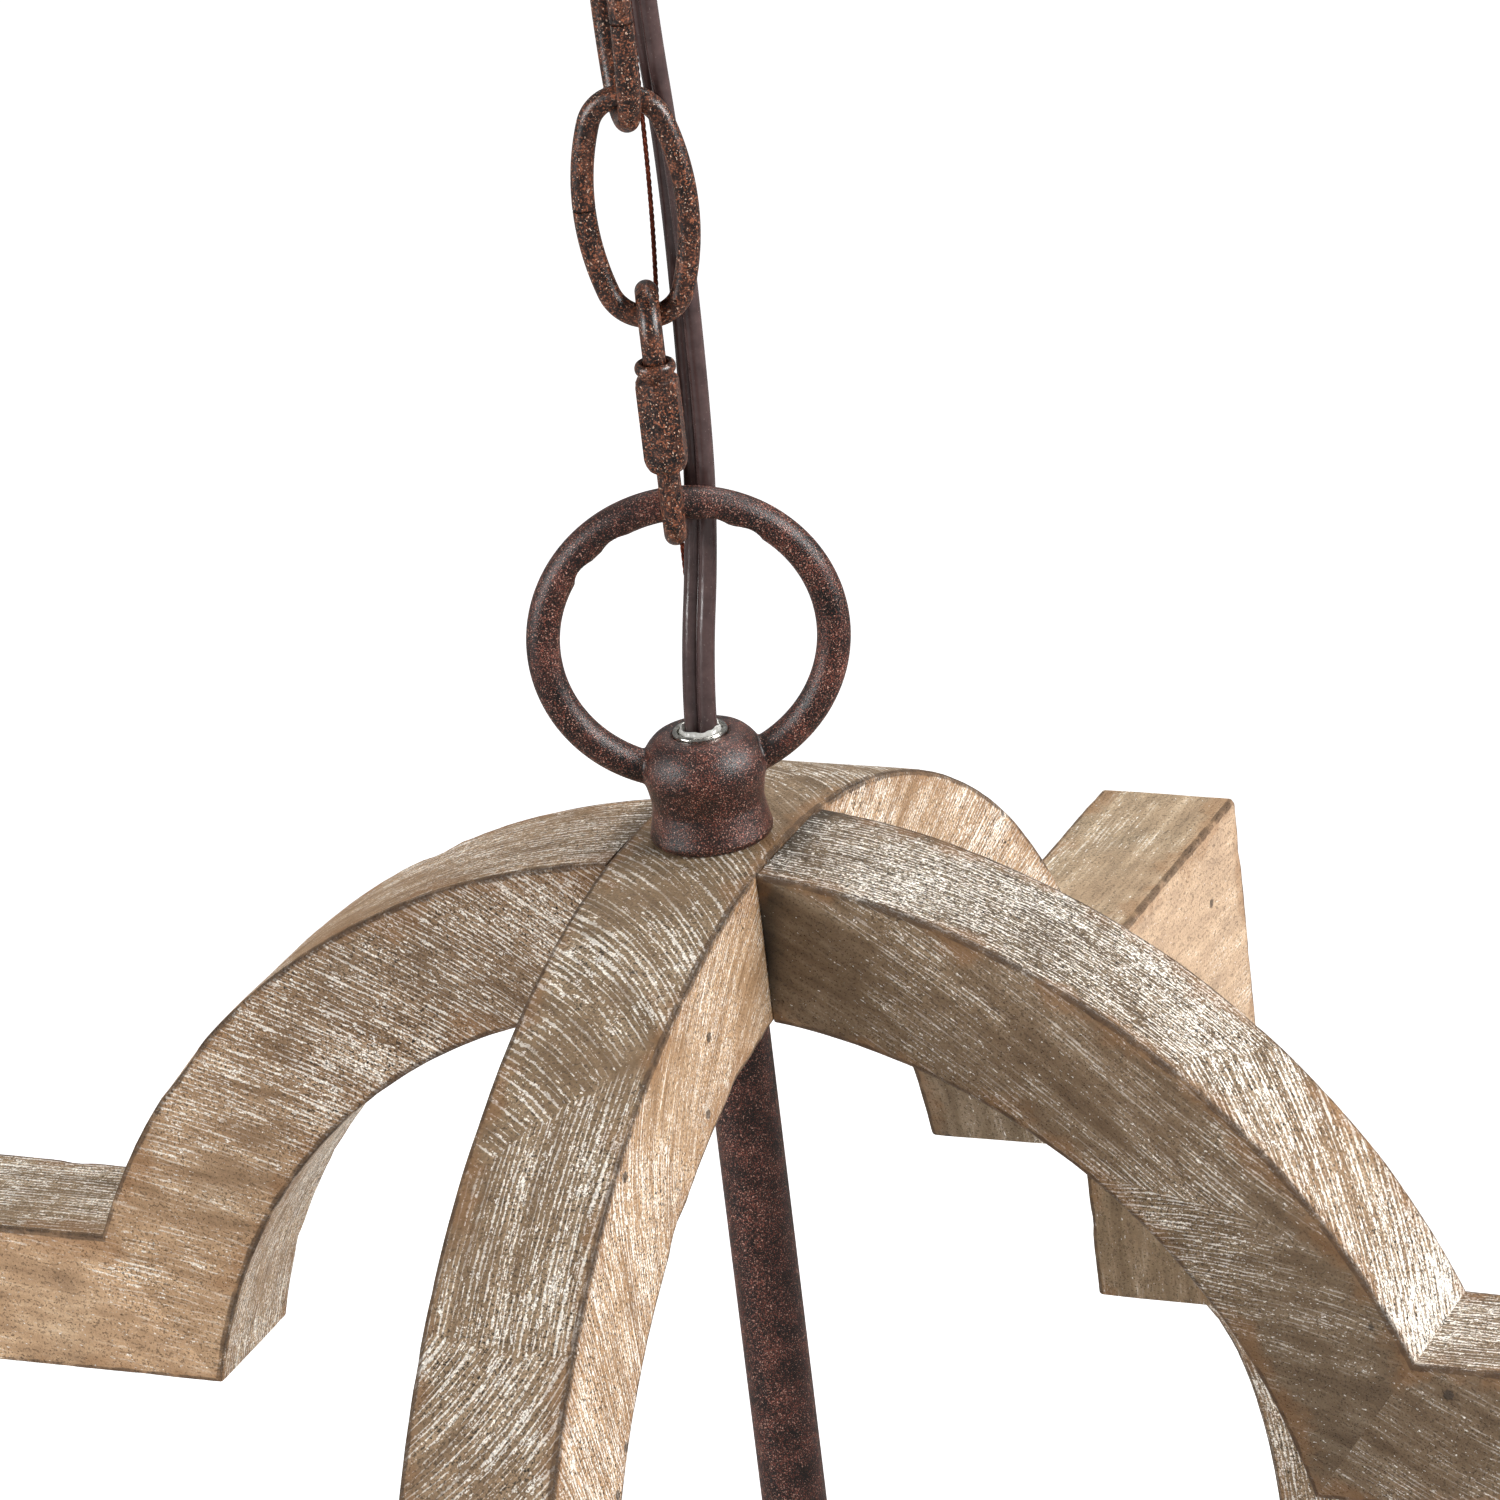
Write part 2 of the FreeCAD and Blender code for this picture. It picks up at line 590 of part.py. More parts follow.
def lights(stem_leads):
    path = arm_path()
    start = V(arm_root, 0, root_z)
    rod = swept(path, Part.Wire(Part.makeCircle(arm_dia / 2, start, V(1, 0, 0))))
    bead = drum(arm_bead_dia, bead_z, pan_z)
    bead = bead.makeFillet(1.2, [e for e in bead.Edges if e.Curve.TypeId == "Part::GeomCircle"])
    bead.translate(V(arm_reach, 0, 0))
    hollow = swept(path, Part.Wire(Part.makeCircle(arm_bore / 2, start, V(1, 0, 0))))
    arm = rod.fuse(bead).cut(hollow)
    lead_r = arm_bore / 2 - lead_play
    lead = swept(path, Part.Wire(Part.makeCircle(lead_r, start, V(1, 0, 0))))

    nut = hex_nut(arm_nut_flats, arm_dia + 2 * glue_gap, 0, arm_nut_height)
    nut.rotate(ORIGIN, V(0, 1, 0), 90)
    nut.translate(start)

    r, w = pan_dia / 2, pan_wall
    pan = turned([(arm_dia / 2 + glue_gap, 0), (r * 0.55, 0), (r * 0.86, 0.9, r, pan_rise),
                  (r - w * 0.8, pan_rise + 0.5), (r * 0.85, 0.9 + w, r * 0.55, w),
                  (arm_dia / 2 + glue_gap, w)], pan_z)

    sleeve = pipe(sleeve_dia, sleeve_dia - 2 * sleeve_wall, floor_z, sleeve_top)
    foot, shell, cup = holder_foot_dia / 2, holder_dia / 2, base_dia / 2 + base_play
    holder = turned([(arm_dia / 2 + glue_gap, floor_z), (foot, floor_z),
                     (foot, floor_z + holder_step), (shell, floor_z + holder_step + 6),
                     (shell, holder_top), (cup, holder_top), (cup, holder_top - holder_depth),
                     (arm_bore / 2, holder_top - holder_depth), (arm_bore / 2, tip_z + 0.3),
                     (arm_dia / 2 + glue_gap, tip_z + 0.3)])

    b, neck = base_dia / 2, bulb_neck_dia / 2
    base = turned([(0, 1.5 - holder_depth), (2.4, 1.5 - holder_depth), (3.4, 4 - holder_depth),
                   (b - 0.4, 5.5 - holder_depth), (b, 7 - holder_depth), (b, 1.5), (b - 0.5, 2.5),
                   (neck + glue_gap, 2.5), (neck + glue_gap, -3), (0, -3)], holder_top)
    wide, tall, g = bulb_dia / 2, bulb_height, glass_wall
    glass = turned([(neck, -neck_sink), (neck, 4),
                    (neck + 1.4, 9, wide * 0.72, 16), (wide, 27, wide * 0.86, 42),
                    (wide * 0.45, 59, 2.0, tall - 1), (0.6, tall), (0, tall),
                    (0, tall - 3), (0.6, tall - 3),
                    (wide * 0.45 - g, 58, wide * 0.86 - g, 42),
                    (wide - g, 27, wide * 0.72 - g, 16),
                    (neck + 1.4 - g, 9.3, neck - g, 4), (neck - g, -neck_sink)], holder_top)
    disc_low, disc_high = holder_top + filament_low, holder_top + filament_high
    cage = drum(filament_post_dia, holder_top - neck_sink, disc_low + filament_disc).fuse(
        drum(filament_disc_dia, disc_low, disc_low + filament_disc)).fuse(
        drum(filament_disc_dia, disc_high, disc_high + filament_disc))
    for a in range(4):
        turn = radians(90 * a)
        cage = cage.fuse(drum(filament_dia, disc_low + filament_disc / 2, disc_high + filament_disc / 2,
                              filament_ring * cos(turn), filament_ring * sin(turn)))

    groups = {"inner_leads": list(stem_leads), "arm_nuts": [], "drip_pans": [], "lamp_holders": [],
              "bulb_bases": [], "bulb_filaments": []}
    for i in range(arm_count):
        save(swung(arm, i), "arm_%d" % (i + 1))
        save(on_arm(sleeve, i), "candle_sleeve_%d" % (i + 1))
        save(on_arm(glass, i), "bulb_glass_%d" % (i + 1))
        groups["inner_leads"].append(swung(lead, i))
        groups["arm_nuts"].append(swung(nut, i))
        groups["drip_pans"].append(on_arm(pan, i))
        groups["lamp_holders"].append(on_arm(holder, i))
        groups["bulb_bases"].append(on_arm(base, i))
        groups["bulb_filaments"].append(on_arm(cage, i))
    for name, solids in groups.items():
        save(Part.makeCompound(solids), name)


def hub():
    r, top, low = hub_dia / 2, root_z + hub_height / 2, root_z - hub_height / 2
    hole = stem_dia / 2 + stem_play
    cup = turned([(hole, top), (r - 6, top), (r - 1.2, top - 1.2, r, top - 6), (r, low),
                  (r - hub_wall, low), (r - hub_wall, top - 7), (r - 7, top - hub_wall),
                  (hole, top - hub_wall)])
    for i in range(arm_count):
        bore = Part.makeCylinder(arm_dia / 2 + glue_gap, r, V(4, 0, root_z), V(1, 0, 0))
        cup = cup.cut(swung(bore, i))
    save(cup, "hub_cup")

    tail = low - hub_cover_depth
    cover = turned([(hole, tail), (10, tail), (r - 3, tail + 2.5, r + 1.2, low - 2.0),
                    (r + 1.2, low), (r - hub_wall - 0.2, low), (r - hub_wall - 0.2, low + 2),
                    (r - hub_wall - 2, low + 2), (r - hub_wall - 2, low - 1.0),
                    (11, tail + 2.0), (hole, tail + 2.0)])
    save(cover, "hub_cover")

    ring = turned([(hole, top), (hub_collar_dia / 2, top), (hub_collar_dia / 2, top + 3),
                   (hub_collar_dia / 2 - 2.6, top + 5, hub_collar_dia / 2 - 2.2,
                    top + hub_collar_height),
                   (hole, top + hub_collar_height)])
    save(ring, "hub_collar")

    f, tip = finial_dia / 2, tail - finial_height
    drop = turned([(0, tail), (f * 0.8, tail), (f * 0.8, tail - 3), (f * 0.62, tail - 5),
                   (f * 1.15, tail - finial_height * 0.45, f * 0.5, tail - finial_height * 0.76),
                   (f * 0.32, tail - finial_height * 0.82),
                   (f * 0.46, tail - finial_height * 0.9, f * 0.12, tip), (0, tip)])
    save(drop.cut(drum(stem_dia + 2 * glue_gap, tail - 9.5, tail + 1)), "finial")

    cones = []
    for x in (-1, 1):
        base = root_z - connector_height / 2
        cone = turned([(0, 0), (connector_dia / 2, 0), (connector_dia / 2, 4),
                       (connector_dia / 2 - 1.6, connector_height), (0, connector_height)], base)
        cone.translate(V(x * ((stem_dia + connector_dia) / 2 + connector_play), 0, 0))
        cones.append(cone)
    save(Part.makeCompound(cones), "wire_connectors")


os.makedirs("parts", exist_ok=True)
wooden_frames()
ceiling_fitting()
chain()
stem_leads = flexes()
lantern_top()
lights(stem_leads)
hub()
for label, z in (("canopy ring", canopy_ring_z - canopy_ring_r),
                 ("upper link", upper_z - link_pitch / 2),
                 ("lower link", lower_z - link_pitch / 2),
                 ("quick link", quick_z - quick_pitch / 2), ("wood", wood_z), ("arm roots", root_z),
                 ("candle tops", sleeve_top), ("bulb tips", holder_top + bulb_height)):
    print("%s at %.3f" % (label, z))
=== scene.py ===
import json
from math import cos, pi, radians, sin, sqrt

import bpy
import numpy as np
from mathutils import Matrix, Vector, noise


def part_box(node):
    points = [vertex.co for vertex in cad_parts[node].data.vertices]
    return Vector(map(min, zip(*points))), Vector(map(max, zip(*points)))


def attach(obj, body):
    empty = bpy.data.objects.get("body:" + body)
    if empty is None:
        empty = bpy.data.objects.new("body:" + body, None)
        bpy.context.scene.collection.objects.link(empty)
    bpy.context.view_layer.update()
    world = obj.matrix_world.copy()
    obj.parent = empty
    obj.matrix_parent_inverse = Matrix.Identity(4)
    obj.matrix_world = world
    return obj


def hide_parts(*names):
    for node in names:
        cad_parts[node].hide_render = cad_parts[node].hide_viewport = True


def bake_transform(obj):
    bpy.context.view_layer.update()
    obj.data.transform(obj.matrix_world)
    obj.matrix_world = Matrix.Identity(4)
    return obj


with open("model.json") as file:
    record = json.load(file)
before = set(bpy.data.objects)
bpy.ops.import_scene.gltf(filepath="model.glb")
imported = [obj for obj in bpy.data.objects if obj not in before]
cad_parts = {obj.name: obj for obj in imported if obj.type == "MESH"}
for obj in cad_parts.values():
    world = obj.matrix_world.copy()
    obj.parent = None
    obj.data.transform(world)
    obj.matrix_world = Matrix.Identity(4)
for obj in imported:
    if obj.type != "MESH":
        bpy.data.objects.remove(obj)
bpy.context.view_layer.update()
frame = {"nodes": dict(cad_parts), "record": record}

MM = 0.001  # sizes below are in millimetres, the frame is in metres

# Camera: its place in the frame, the way it looks in degrees, and its lens
CAMERA_PLACE = (515.14, -1044.88, 291.90)
CAMERA_AZIMUTH = 25.888
CAMERA_ELEVATION = 23.136
CAMERA_ROLL = -6.867
CAMERA_LENS = 198.66
CAMERA_SENSOR = 36.0

# Sizes of the wooden bars
WOOD_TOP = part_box("long_top_arch")[1].z / MM
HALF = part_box("long_rear_arch")[1].y / MM
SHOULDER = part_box("right_top_corner")[1].x / MM
BAR = 2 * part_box("long_top_arch")[1].x / MM
LOBE_RADIUS = 121.5
BUTT_GAP = 0.15
EDGE_RADIUS = 0.8
FRAME_Z = WOOD_TOP - HALF
LOBE_MID = HALF - LOBE_RADIUS
BAR_RADIUS = LOBE_RADIUS - BAR / 2  # middle of the bar round the lobe
INSIDE = SHOULDER - BAR  # inner faces of a square corner
NOTCH = sqrt(LOBE_RADIUS ** 2 - (SHOULDER - LOBE_MID) ** 2)  # where lobe and corner meet outside
CUSP = sqrt((LOBE_RADIUS - BAR) ** 2 - (INSIDE - LOBE_MID) ** 2)  # where they meet inside

# The cast loop's directions, and the flexes that come out of it
LOOP_TURN = radians(25.94)
RIGHT = Vector((cos(LOOP_TURN), sin(LOOP_TURN), 0))
BACK = Vector((-sin(LOOP_TURN), cos(LOOP_TURN), 0))
FLEX_WIDTH = 5.4
FLEX_THICK = 2.8
GROUND_DIA = 0.8


# Shader helpers
def srgb(r, g, b):
    """A colour of 0 to 255 as the linear value that shaders take."""
    def linear(c):
        c = c / 255
        return c / 12.92 if c <= 0.04045 else ((c + 0.055) / 1.055) ** 2.4
    return (linear(r), linear(g), linear(b), 1.0)


class Shader:
    """A material under construction, with short calls for its nodes."""

    def __init__(self, name):
        self.material = bpy.data.materials.new(name)
        self.material.use_nodes = True
        self.tree = self.material.node_tree
        self.surface = self.tree.nodes["Principled BSDF"]

    def put(self, socket, value):
        if isinstance(value, bpy.types.NodeSocket):
            self.tree.links.new(value, socket)
        else:
            socket.default_value = value

    def add(self, kind, inputs=None, **settings):
        n = self.tree.nodes.new("ShaderNode" + kind)
        for key, value in settings.items():
            setattr(n, key, value)
        for key, value in (inputs or {}).items():
            self.put(n.inputs[key], value)
        return n

    def attribute(self, name):
        return self.add("Attribute", attribute_name=name)

    def millimetres(self):
        """The piece's own coordinates in millimetres."""
        place = self.add("TexCoord").outputs["Object"]
        return self.add("VectorMath", {0: place, "Scale": 1 / MM}, operation="SCALE").outputs[0]

    def scaled(self, vector, scale, shift=(0, 0, 0)):
        return self.add("Mapping", {"Vector": vector, "Scale": scale, "Location": shift}).outputs[0]

    def shifted(self, vector, *shift):
        """The vector moved aside, so that its noise differs from the others."""
        return self.scaled(vector, (1, 1, 1), shift)

    def noise(self, vector, scale, detail=2.0, rough=0.5, distortion=0.0):
        return self.add("TexNoise", {"Vector": vector, "Scale": scale, "Detail": detail,
                                     "Roughness": rough, "Distortion": distortion}).outputs["Fac"]

    def cells(self, vector, scale):
        return self.add("TexVoronoi", {"Vector": vector, "Scale": scale})

    def math(self, operation, a, b=0.0, clamp=False):
        return self.add("Math", {0: a, 1: b}, operation=operation, use_clamp=clamp).outputs[0]

    def sum_of(self, *terms):
        """The sum of terms, each a value or a pair of value and weight."""
        total = None
        for term in terms:
            value = self.math("MULTIPLY", *term) if isinstance(term, tuple) else term
            total = value if total is None else self.math("ADD", total, value)
        return total

    def around(self, value):
        """A noise value as its difference from the middle."""
        return self.math("SUBTRACT", value, 0.5)

    def between(self, factor, a, b):
        return self.add("Mix", {"Factor": factor, 2: a, 3: b}, data_type="FLOAT").outputs[0]

    def step(self, value, low, high, to_low=0.0, to_high=1.0):
        return self.add("MapRange", {"Value": value, "From Min": low, "From Max": high,
                                     "To Min": to_low, "To Max": to_high},
                        interpolation_type="SMOOTHSTEP").outputs["Result"]

    def mix(self, factor, a, b, blend="MIX"):
        n = self.add("Mix", {"Factor": factor}, data_type="RGBA", blend_type=blend)
        self.put(n.inputs[6], a)
        self.put(n.inputs[7], b)
        return n.outputs[2]

    def coat(self, colour, cover, strength, paint):
        """A colour with paint over it, as dense as the cover times the strength."""
        return self.mix(self.math("MULTIPLY", cover, strength), colour, srgb(*paint))

    def shaded(self, colour, value):
        """A colour made lighter or darker by a factor."""
        grey = self.add("CombineColor", {0: value, 1: value, 2: value}).outputs[0]
        return self.mix(1.0, colour, grey, "MULTIPLY")

    def ramp(self, factor, *stops):
        n = self.add("ValToRGB", {"Fac": factor})
        marks = n.color_ramp.elements
        while len(marks) < len(stops):
            marks.new(0.5)
        for mark, (place, colour) in zip(marks, stops):
            mark.position = place
            mark.color = colour
        return n.outputs["Color"]

    def bump(self, height, distance):
        n = self.add("Bump", {"Height": height, "Distance": distance * MM})
        self.put(self.surface.inputs["Normal"], n.outputs[0])

    def finish(self, colour, rough, **inputs):
        self.put(self.surface.inputs["Base Color"], colour)
        self.put(self.surface.inputs["Roughness"], rough)
        for key, value in inputs.items():
            self.put(self.surface.inputs[key.replace("_", " ")], value)
        return self.material


def bristles(s, strokes, grit, chop):
    """Thin lines a stroke's width apart, which wander a little and fade in and out, and dabs."""
    over = s.add("SeparateXYZ", {"Vector": strokes}).outputs[1]
    stray = s.around(s.noise(strokes, 0.45, 2.0, 0.6))
    place = s.sum_of(over, (stray, 2.2), (grit, 0.25))
    off = s.math("ABSOLUTE", s.around(s.math("FRACT", place)))
    held = s.around(s.noise(s.scaled(strokes, (0.9, 0.8, 0.8), (31, 17, 5)), 1.0, 2.0, 0.6))
    line = s.step(s.sum_of(off, (held, -0.50), (chop, -0.42), (grit, -0.45)), 0.25, 0.04)
    dabs = s.around(s.noise(s.scaled(strokes, (4.5, 2.1, 2.1), (3, 8, 1)), 1.0, 1.0, 0.6))
    return line, dabs


def weathered_wood():
    """Tan to olive wood, dry brushed with white in fine strokes, pitted, with worn brown edges, and
    painted shade by the butt joints.
    """
    s = Shader("weathered_wood")
    near = s.attribute("grain").outputs["Vector"]
    far = s.attribute("grain_beyond").outputs["Vector"]
    # The finish attribute gives white, olive and brightness; the brightness holds painted shade by
    # the butt joints.
    finish = s.add("SeparateXYZ", {"Vector": s.attribute("finish").outputs["Vector"]}).outputs
    white, olive, tone_and_shade = finish[0], finish[1], finish[2]
    edge = s.attribute("edge").outputs["Fac"]
    beyond = s.attribute("beyond").outputs["Fac"]
    place = s.millimetres()

    patch = s.around(s.noise(place, 0.04, 3.0, 0.6))
    cloud = s.around(s.noise(s.shifted(place, 70, 20, 40), 0.19, 3.0, 0.65))
    grit = s.around(s.noise(place, 2.8, 2.0, 0.7))
    pores = s.around(s.noise(s.shifted(place, 9, 33, 5), 2.2, 2.0, 0.75))
    past = s.step(s.sum_of(beyond, (cloud, 6.0)), -0.6, 0.6)
    chop = s.around(s.noise(s.shifted(place, 4, 2, 61), 1.1, 1.0, 0.5))
    line, dabs = (s.between(past, a, b) for a, b in zip(bristles(s, near, grit, chop),
                                                        bristles(s, far, grit, chop)))
    figure = s.around(s.between(past, s.noise(s.scaled(near, (0.4, 0.3, 0.3)), 1.0, 3.0, 0.6, 0.3),
                                s.noise(s.scaled(far, (0.4, 0.3, 0.3)), 1.0, 3.0, 0.6, 0.3)))

    spread = s.sum_of((cloud, 0.35), (figure, 0.9), 0.5)
    tan = s.ramp(spread, (0.25, srgb(124, 95, 66)), (0.5, srgb(158, 127, 95)),
                 (0.75, srgb(186, 157, 125)))
    dull = s.ramp(spread, (0.25, srgb(86, 73, 55)), (0.5, srgb(116, 101, 79)),
                  (0.75, srgb(148, 133, 111)))
    colour = s.mix(s.math("ADD", olive, s.math("MULTIPLY", patch, 0.9), clamp=True), tan, dull)
    # Brightness by face and place, including painted shade by the butt joints.
    colour = s.shaded(colour, s.sum_of((tone_and_shade, 0.5), patch, 1.0))
    colour = s.mix(s.step(tone_and_shade, 0.6, 1.6, 0.0, 0.75), colour, srgb(204, 186, 168))

    amount = s.sum_of((white, 0.6), (patch, 1.3), (cloud, 0.4), (figure, 0.9), -0.25)
    colour = s.coat(colour, s.step(amount, -0.1, 0.6), 0.20, (200, 188, 172))
    dash = s.step(s.sum_of(line, (amount, 0.9)), 0.55, 0.95)
    fleck = s.step(s.sum_of((grit, 0.7), dabs, (amount, 0.24)), 0.12, 0.18)
    paint = s.math("MAXIMUM", s.math("MULTIPLY", dash, 0.75), s.math("MULTIPLY", fleck, 0.9))
    colour = s.coat(colour, paint, 0.90, (240, 235, 226))
    pit = s.step(s.sum_of((pores, 0.9), (dabs, 0.4), (line, 0.08)), -0.07, -0.14)
    coarse = s.step(amount, -0.55, 0.45, 0.3, 1.5)
    colour = s.coat(colour, s.math("MULTIPLY", pit, coarse), 0.82, (36, 26, 18))
    speckle = s.math("MULTIPLY", s.sum_of((grit, 1.7), (pores, 1.5)), coarse)
    colour = s.shaded(colour, s.sum_of(speckle, 0.98))

    wear = s.step(s.sum_of((edge, -0.085), (s.noise(place, 0.10, 3.0, 0.65), 1.6)), 0.55, 0.86)
    colour = s.coat(colour, wear, 0.40, (136, 94, 54))
    rim = s.step(s.sum_of((edge, -1.9), (s.noise(place, 0.3, 2.0), 1.6)), 0.3, 0.9)
    colour = s.coat(colour, rim, 0.72, (66, 48, 33))

    spots = s.cells(s.shifted(place, 9, 4, 2), 0.085)
    lone = s.step(s.add("SeparateColor", {"Color": spots.outputs["Color"]}).outputs[0], 0.60, 0.63)
    size = s.sum_of(spots.outputs["Distance"], (grit, 0.05))
    spot = s.math("MULTIPLY", s.step(size, 0.085, 0.05), lone)
    colour = s.coat(colour, spot, 0.75, (54, 46, 40))

    height = s.sum_of((paint, 0.40), (pit, -0.7), (grit, 0.6), (figure, 0.3), (spot, -0.8))
    s.bump(height, 0.22)
    return s.finish(colour, s.step(paint, 0.0, 1.0, 0.62, 0.82), Specular_IOR_Level=0.35)


def rust_iron():
    """Dark red-brown paint with a fine orange speckle and a grainy satin sheen."""
    s = Shader("rust_iron")
    place = s.millimetres()
    cloud = s.around(s.noise(place, 0.22, 3.0, 0.6))
    grit = s.around(s.noise(place, 4.6, 2.0, 0.7))
    dust = s.noise(s.shifted(place, 40, 7, 3), 4.4, 1.0, 0.6)
    colour = s.ramp(s.sum_of((cloud, 0.8), (grit, 0.8), 0.5), (0.30, srgb(4, 2, 2)),
                    (0.5, srgb(17, 9, 8)), (0.72, srgb(48, 27, 24)))
    rust = s.step(s.sum_of(grit, (cloud, 0.22)), 0.03, 0.15)
    colour = s.coat(colour, rust, 0.66, (156, 82, 62))
    pale = s.step(s.sum_of(dust, (cloud, 0.12)), 0.63, 0.70)
    colour = s.coat(colour, pale, 0.80, (214, 164, 144))
    s.bump(s.sum_of((grit, 1.3), (dust, 0.7), (cloud, 0.8)), 0.06)
    return s.finish(colour, s.step(grit, -0.2, 0.2, 0.28, 0.42), Specular_IOR_Level=0.60)


def chain_iron():
    """Rust-brown chain with orange patches, dark worn places and pale specks."""
    s = Shader("chain_iron")
    place = s.millimetres()
    cloud = s.around(s.noise(place, 0.30, 3.0, 0.65, 0.3))
    patch = s.around(s.noise(s.shifted(place, 13, 5, 29), 0.75, 3.0, 0.7))
    grit = s.around(s.noise(place, 3.0, 2.0, 0.65))
    colour = s.ramp(s.sum_of((cloud, 0.7), (patch, 0.4), 0.5), (0.32, srgb(14, 9, 8)),
                    (0.48, srgb(36, 22, 18)), (0.62, srgb(80, 46, 31)), (0.76, srgb(38, 24, 21)))
    orange = s.step(s.sum_of(grit, (patch, 0.3)), 0.04, 0.13)
    colour = s.coat(colour, orange, 0.66, (164, 94, 60))
    black = s.step(s.sum_of(grit, (patch, 0.35)), -0.05, -0.15)
    colour = s.coat(colour, black, 0.80, (15, 10, 9))
    pale = s.step(s.noise(s.shifted(place, 3, 60, 8), 2.8, 1.0, 0.6), 0.65, 0.73)
    colour = s.coat(colour, pale, 0.80, (226, 188, 162))
    s.bump(s.sum_of((grit, 0.8), (patch, 0.8), (pale, 0.4)), 0.06)
    return s.finish(colour, s.step(patch, -0.2, 0.2, 0.26, 0.40), Specular_IOR_Level=0.62)


def zinc_steel():
    s = Shader("zinc_steel")
    place = s.millimetres()
    mottle = s.noise(place, 0.5, 4.0, 0.7)
    scratch = s.noise(s.scaled(place, (0.3, 4.0, 4.0)), 1.0, 2.0)
    colour = s.ramp(mottle, (0.3, srgb(150, 150, 146)), (0.7, srgb(196, 196, 190)))
    s.bump(s.sum_of((mottle, 0.4), (scratch, 0.4)), 0.04)
    return s.finish(colour, s.step(scratch, 0.3, 0.7, 0.28, 0.46), Metallic=1.0)


def brown_flex():
    """Glossy brown insulation with faint draw lines along it."""
    s = Shader("brown_flex")
    place = s.millimetres()
    haze = s.noise(place, 0.35, 3.0, 0.6)
    line = s.noise(s.scaled(place, (3.0, 3.0, 0.12)), 1.0, 2.0)
    colour = s.ramp(haze, (0.3, srgb(60, 44, 43)), (0.7, srgb(84, 64, 62)))
    dust = s.step(s.noise(place, 2.8, 1.0, 0.6), 0.70, 0.78)
    colour = s.coat(colour, dust, 0.25, (170, 150, 142))
    s.bump(s.sum_of((line, 0.6), (haze, 0.5)), 0.05)
    return s.finish(colour, s.step(line, 0.3, 0.7, 0.18, 0.26), Specular_IOR_Level=0.90)


def mottled(name, scale, dark, light, relief, rough, **inputs):
    """A plain finish whose faint mottle also gives it some relief and an uneven sheen."""
    s = Shader(name)
    mottle = s.noise(s.millimetres(), scale, 3.0, 0.6)
    colour = s.ramp(mottle, (0.3, srgb(*dark)), (0.7, srgb(*light)))
    s.bump(mottle, relief)
    return s.finish(colour, s.step(mottle, 0.3, 0.7, *rough), **inputs)


def bare_copper():
    return mottled("bare_copper", 0.9, dark=(76, 30, 21), light=(136, 64, 42), relief=0.03,
                   rough=(0.30, 0.50), Metallic=0.75)


def bright_eyelet():
    return mottled("bright_eyelet", 1.4, dark=(150, 148, 142), light=(224, 222, 214), relief=0.05,
                   rough=(0.16, 0.30), Metallic=1.0)


def clear_plastic():
    return mottled("clear_plastic", 0.9, dark=(214, 212, 206), light=(246, 245, 240), relief=0.15,
                   rough=(0.12, 0.28), Transmission_Weight=0.45)


def moulded_plastic():
    return mottled("moulded_plastic", 1.2, dark=(214, 208, 194), light=(232, 228, 216), relief=0.04,
                   rough=(0.38, 0.52))


def ivory_sleeve():
    """Aged ivory candle tube, a little browner in streaks."""
    s = Shader("ivory_sleeve")
    place = s.millimetres()
    streak = s.noise(s.scaled(place, (0.35, 0.35, 0.03)), 1.0, 3.0, 0.6)
    grit = s.noise(place, 1.4, 2.0, 0.6)
    colour = s.ramp(streak, (0.3, srgb(206, 184, 142)), (0.5, srgb(226, 210, 176)),
                    (0.7, srgb(236, 224, 196)))
    stain = s.step(s.sum_of(s.noise(place, 0.12, 3.0, 0.6), (grit, 0.12)), 0.60, 0.72)
    colour = s.coat(colour, stain, 0.35, (168, 128, 78))
    s.bump(s.sum_of((streak, 0.8), (grit, 0.3)), 0.08)
    return s.finish(colour, s.step(grit, 0.3, 0.7, 0.46, 0.62), Subsurface_Weight=0.05)


def lamp_glass():
    s = Shader("lamp_glass")
    wave = s.noise(s.millimetres(), 0.06, 2.0, 0.5)
    colour = s.ramp(wave, (0.3, srgb(250, 249, 246)), (0.7, srgb(254, 254, 252)))
    s.bump(wave, 0.12)
    return s.finish(colour, s.step(wave, 0.3, 0.7, 0.0, 0.02), Transmission_Weight=1.0, IOR=1.45)


def lamp_brass():
    s = Shader("lamp_brass")
    place = s.millimetres()
    haze = s.noise(place, 0.8, 3.0, 0.6)
    rib = s.add("TexWave", {"Vector": place, "Scale": 0.32}, bands_direction="Z").outputs["Fac"]
    colour = s.ramp(haze, (0.3, srgb(178, 146, 84)), (0.7, srgb(220, 192, 128)))
    s.bump(s.sum_of((rib, 1.0), (haze, 0.2)), 0.35)
    return s.finish(colour, s.step(haze, 0.3, 0.7, 0.20, 0.34), Metallic=1.0)


def lamp_filament():
    return mottled("lamp_filament", 1.1, dark=(214, 160, 58), light=(238, 196, 96), relief=0.04,
                   rough=(0.50, 0.70))


def dowel_wood():
    s = Shader("dowel_wood")
    place = s.millimetres()
    figure = s.noise(s.scaled(place, (0.05, 0.6, 0.6)), 1.0, 3.0, 0.6)
    colour = s.ramp(figure, (0.3, srgb(168, 128, 84)), (0.7, srgb(206, 168, 118)))
    s.bump(figure, 0.08)
    return s.finish(colour, s.step(figure, 0.3, 0.7, 0.6, 0.75))


MATERIALS = {
    "weathered_wood": weathered_wood(), "dowel_wood": dowel_wood(), "chain_iron": chain_iron(),
    "rust_iron": rust_iron(), "zinc_steel": zinc_steel(), "brown_flex": brown_flex(),
    "bare_copper": bare_copper(), "clear_bushing": clear_plastic(),
    "holder_plastic": moulded_plastic(), "candle_sleeve": ivory_sleeve(),
    "bulb_glass": lamp_glass(), "lamp_brass": lamp_brass(), "filament": lamp_filament(),
}
EYELET = bright_eyelet()


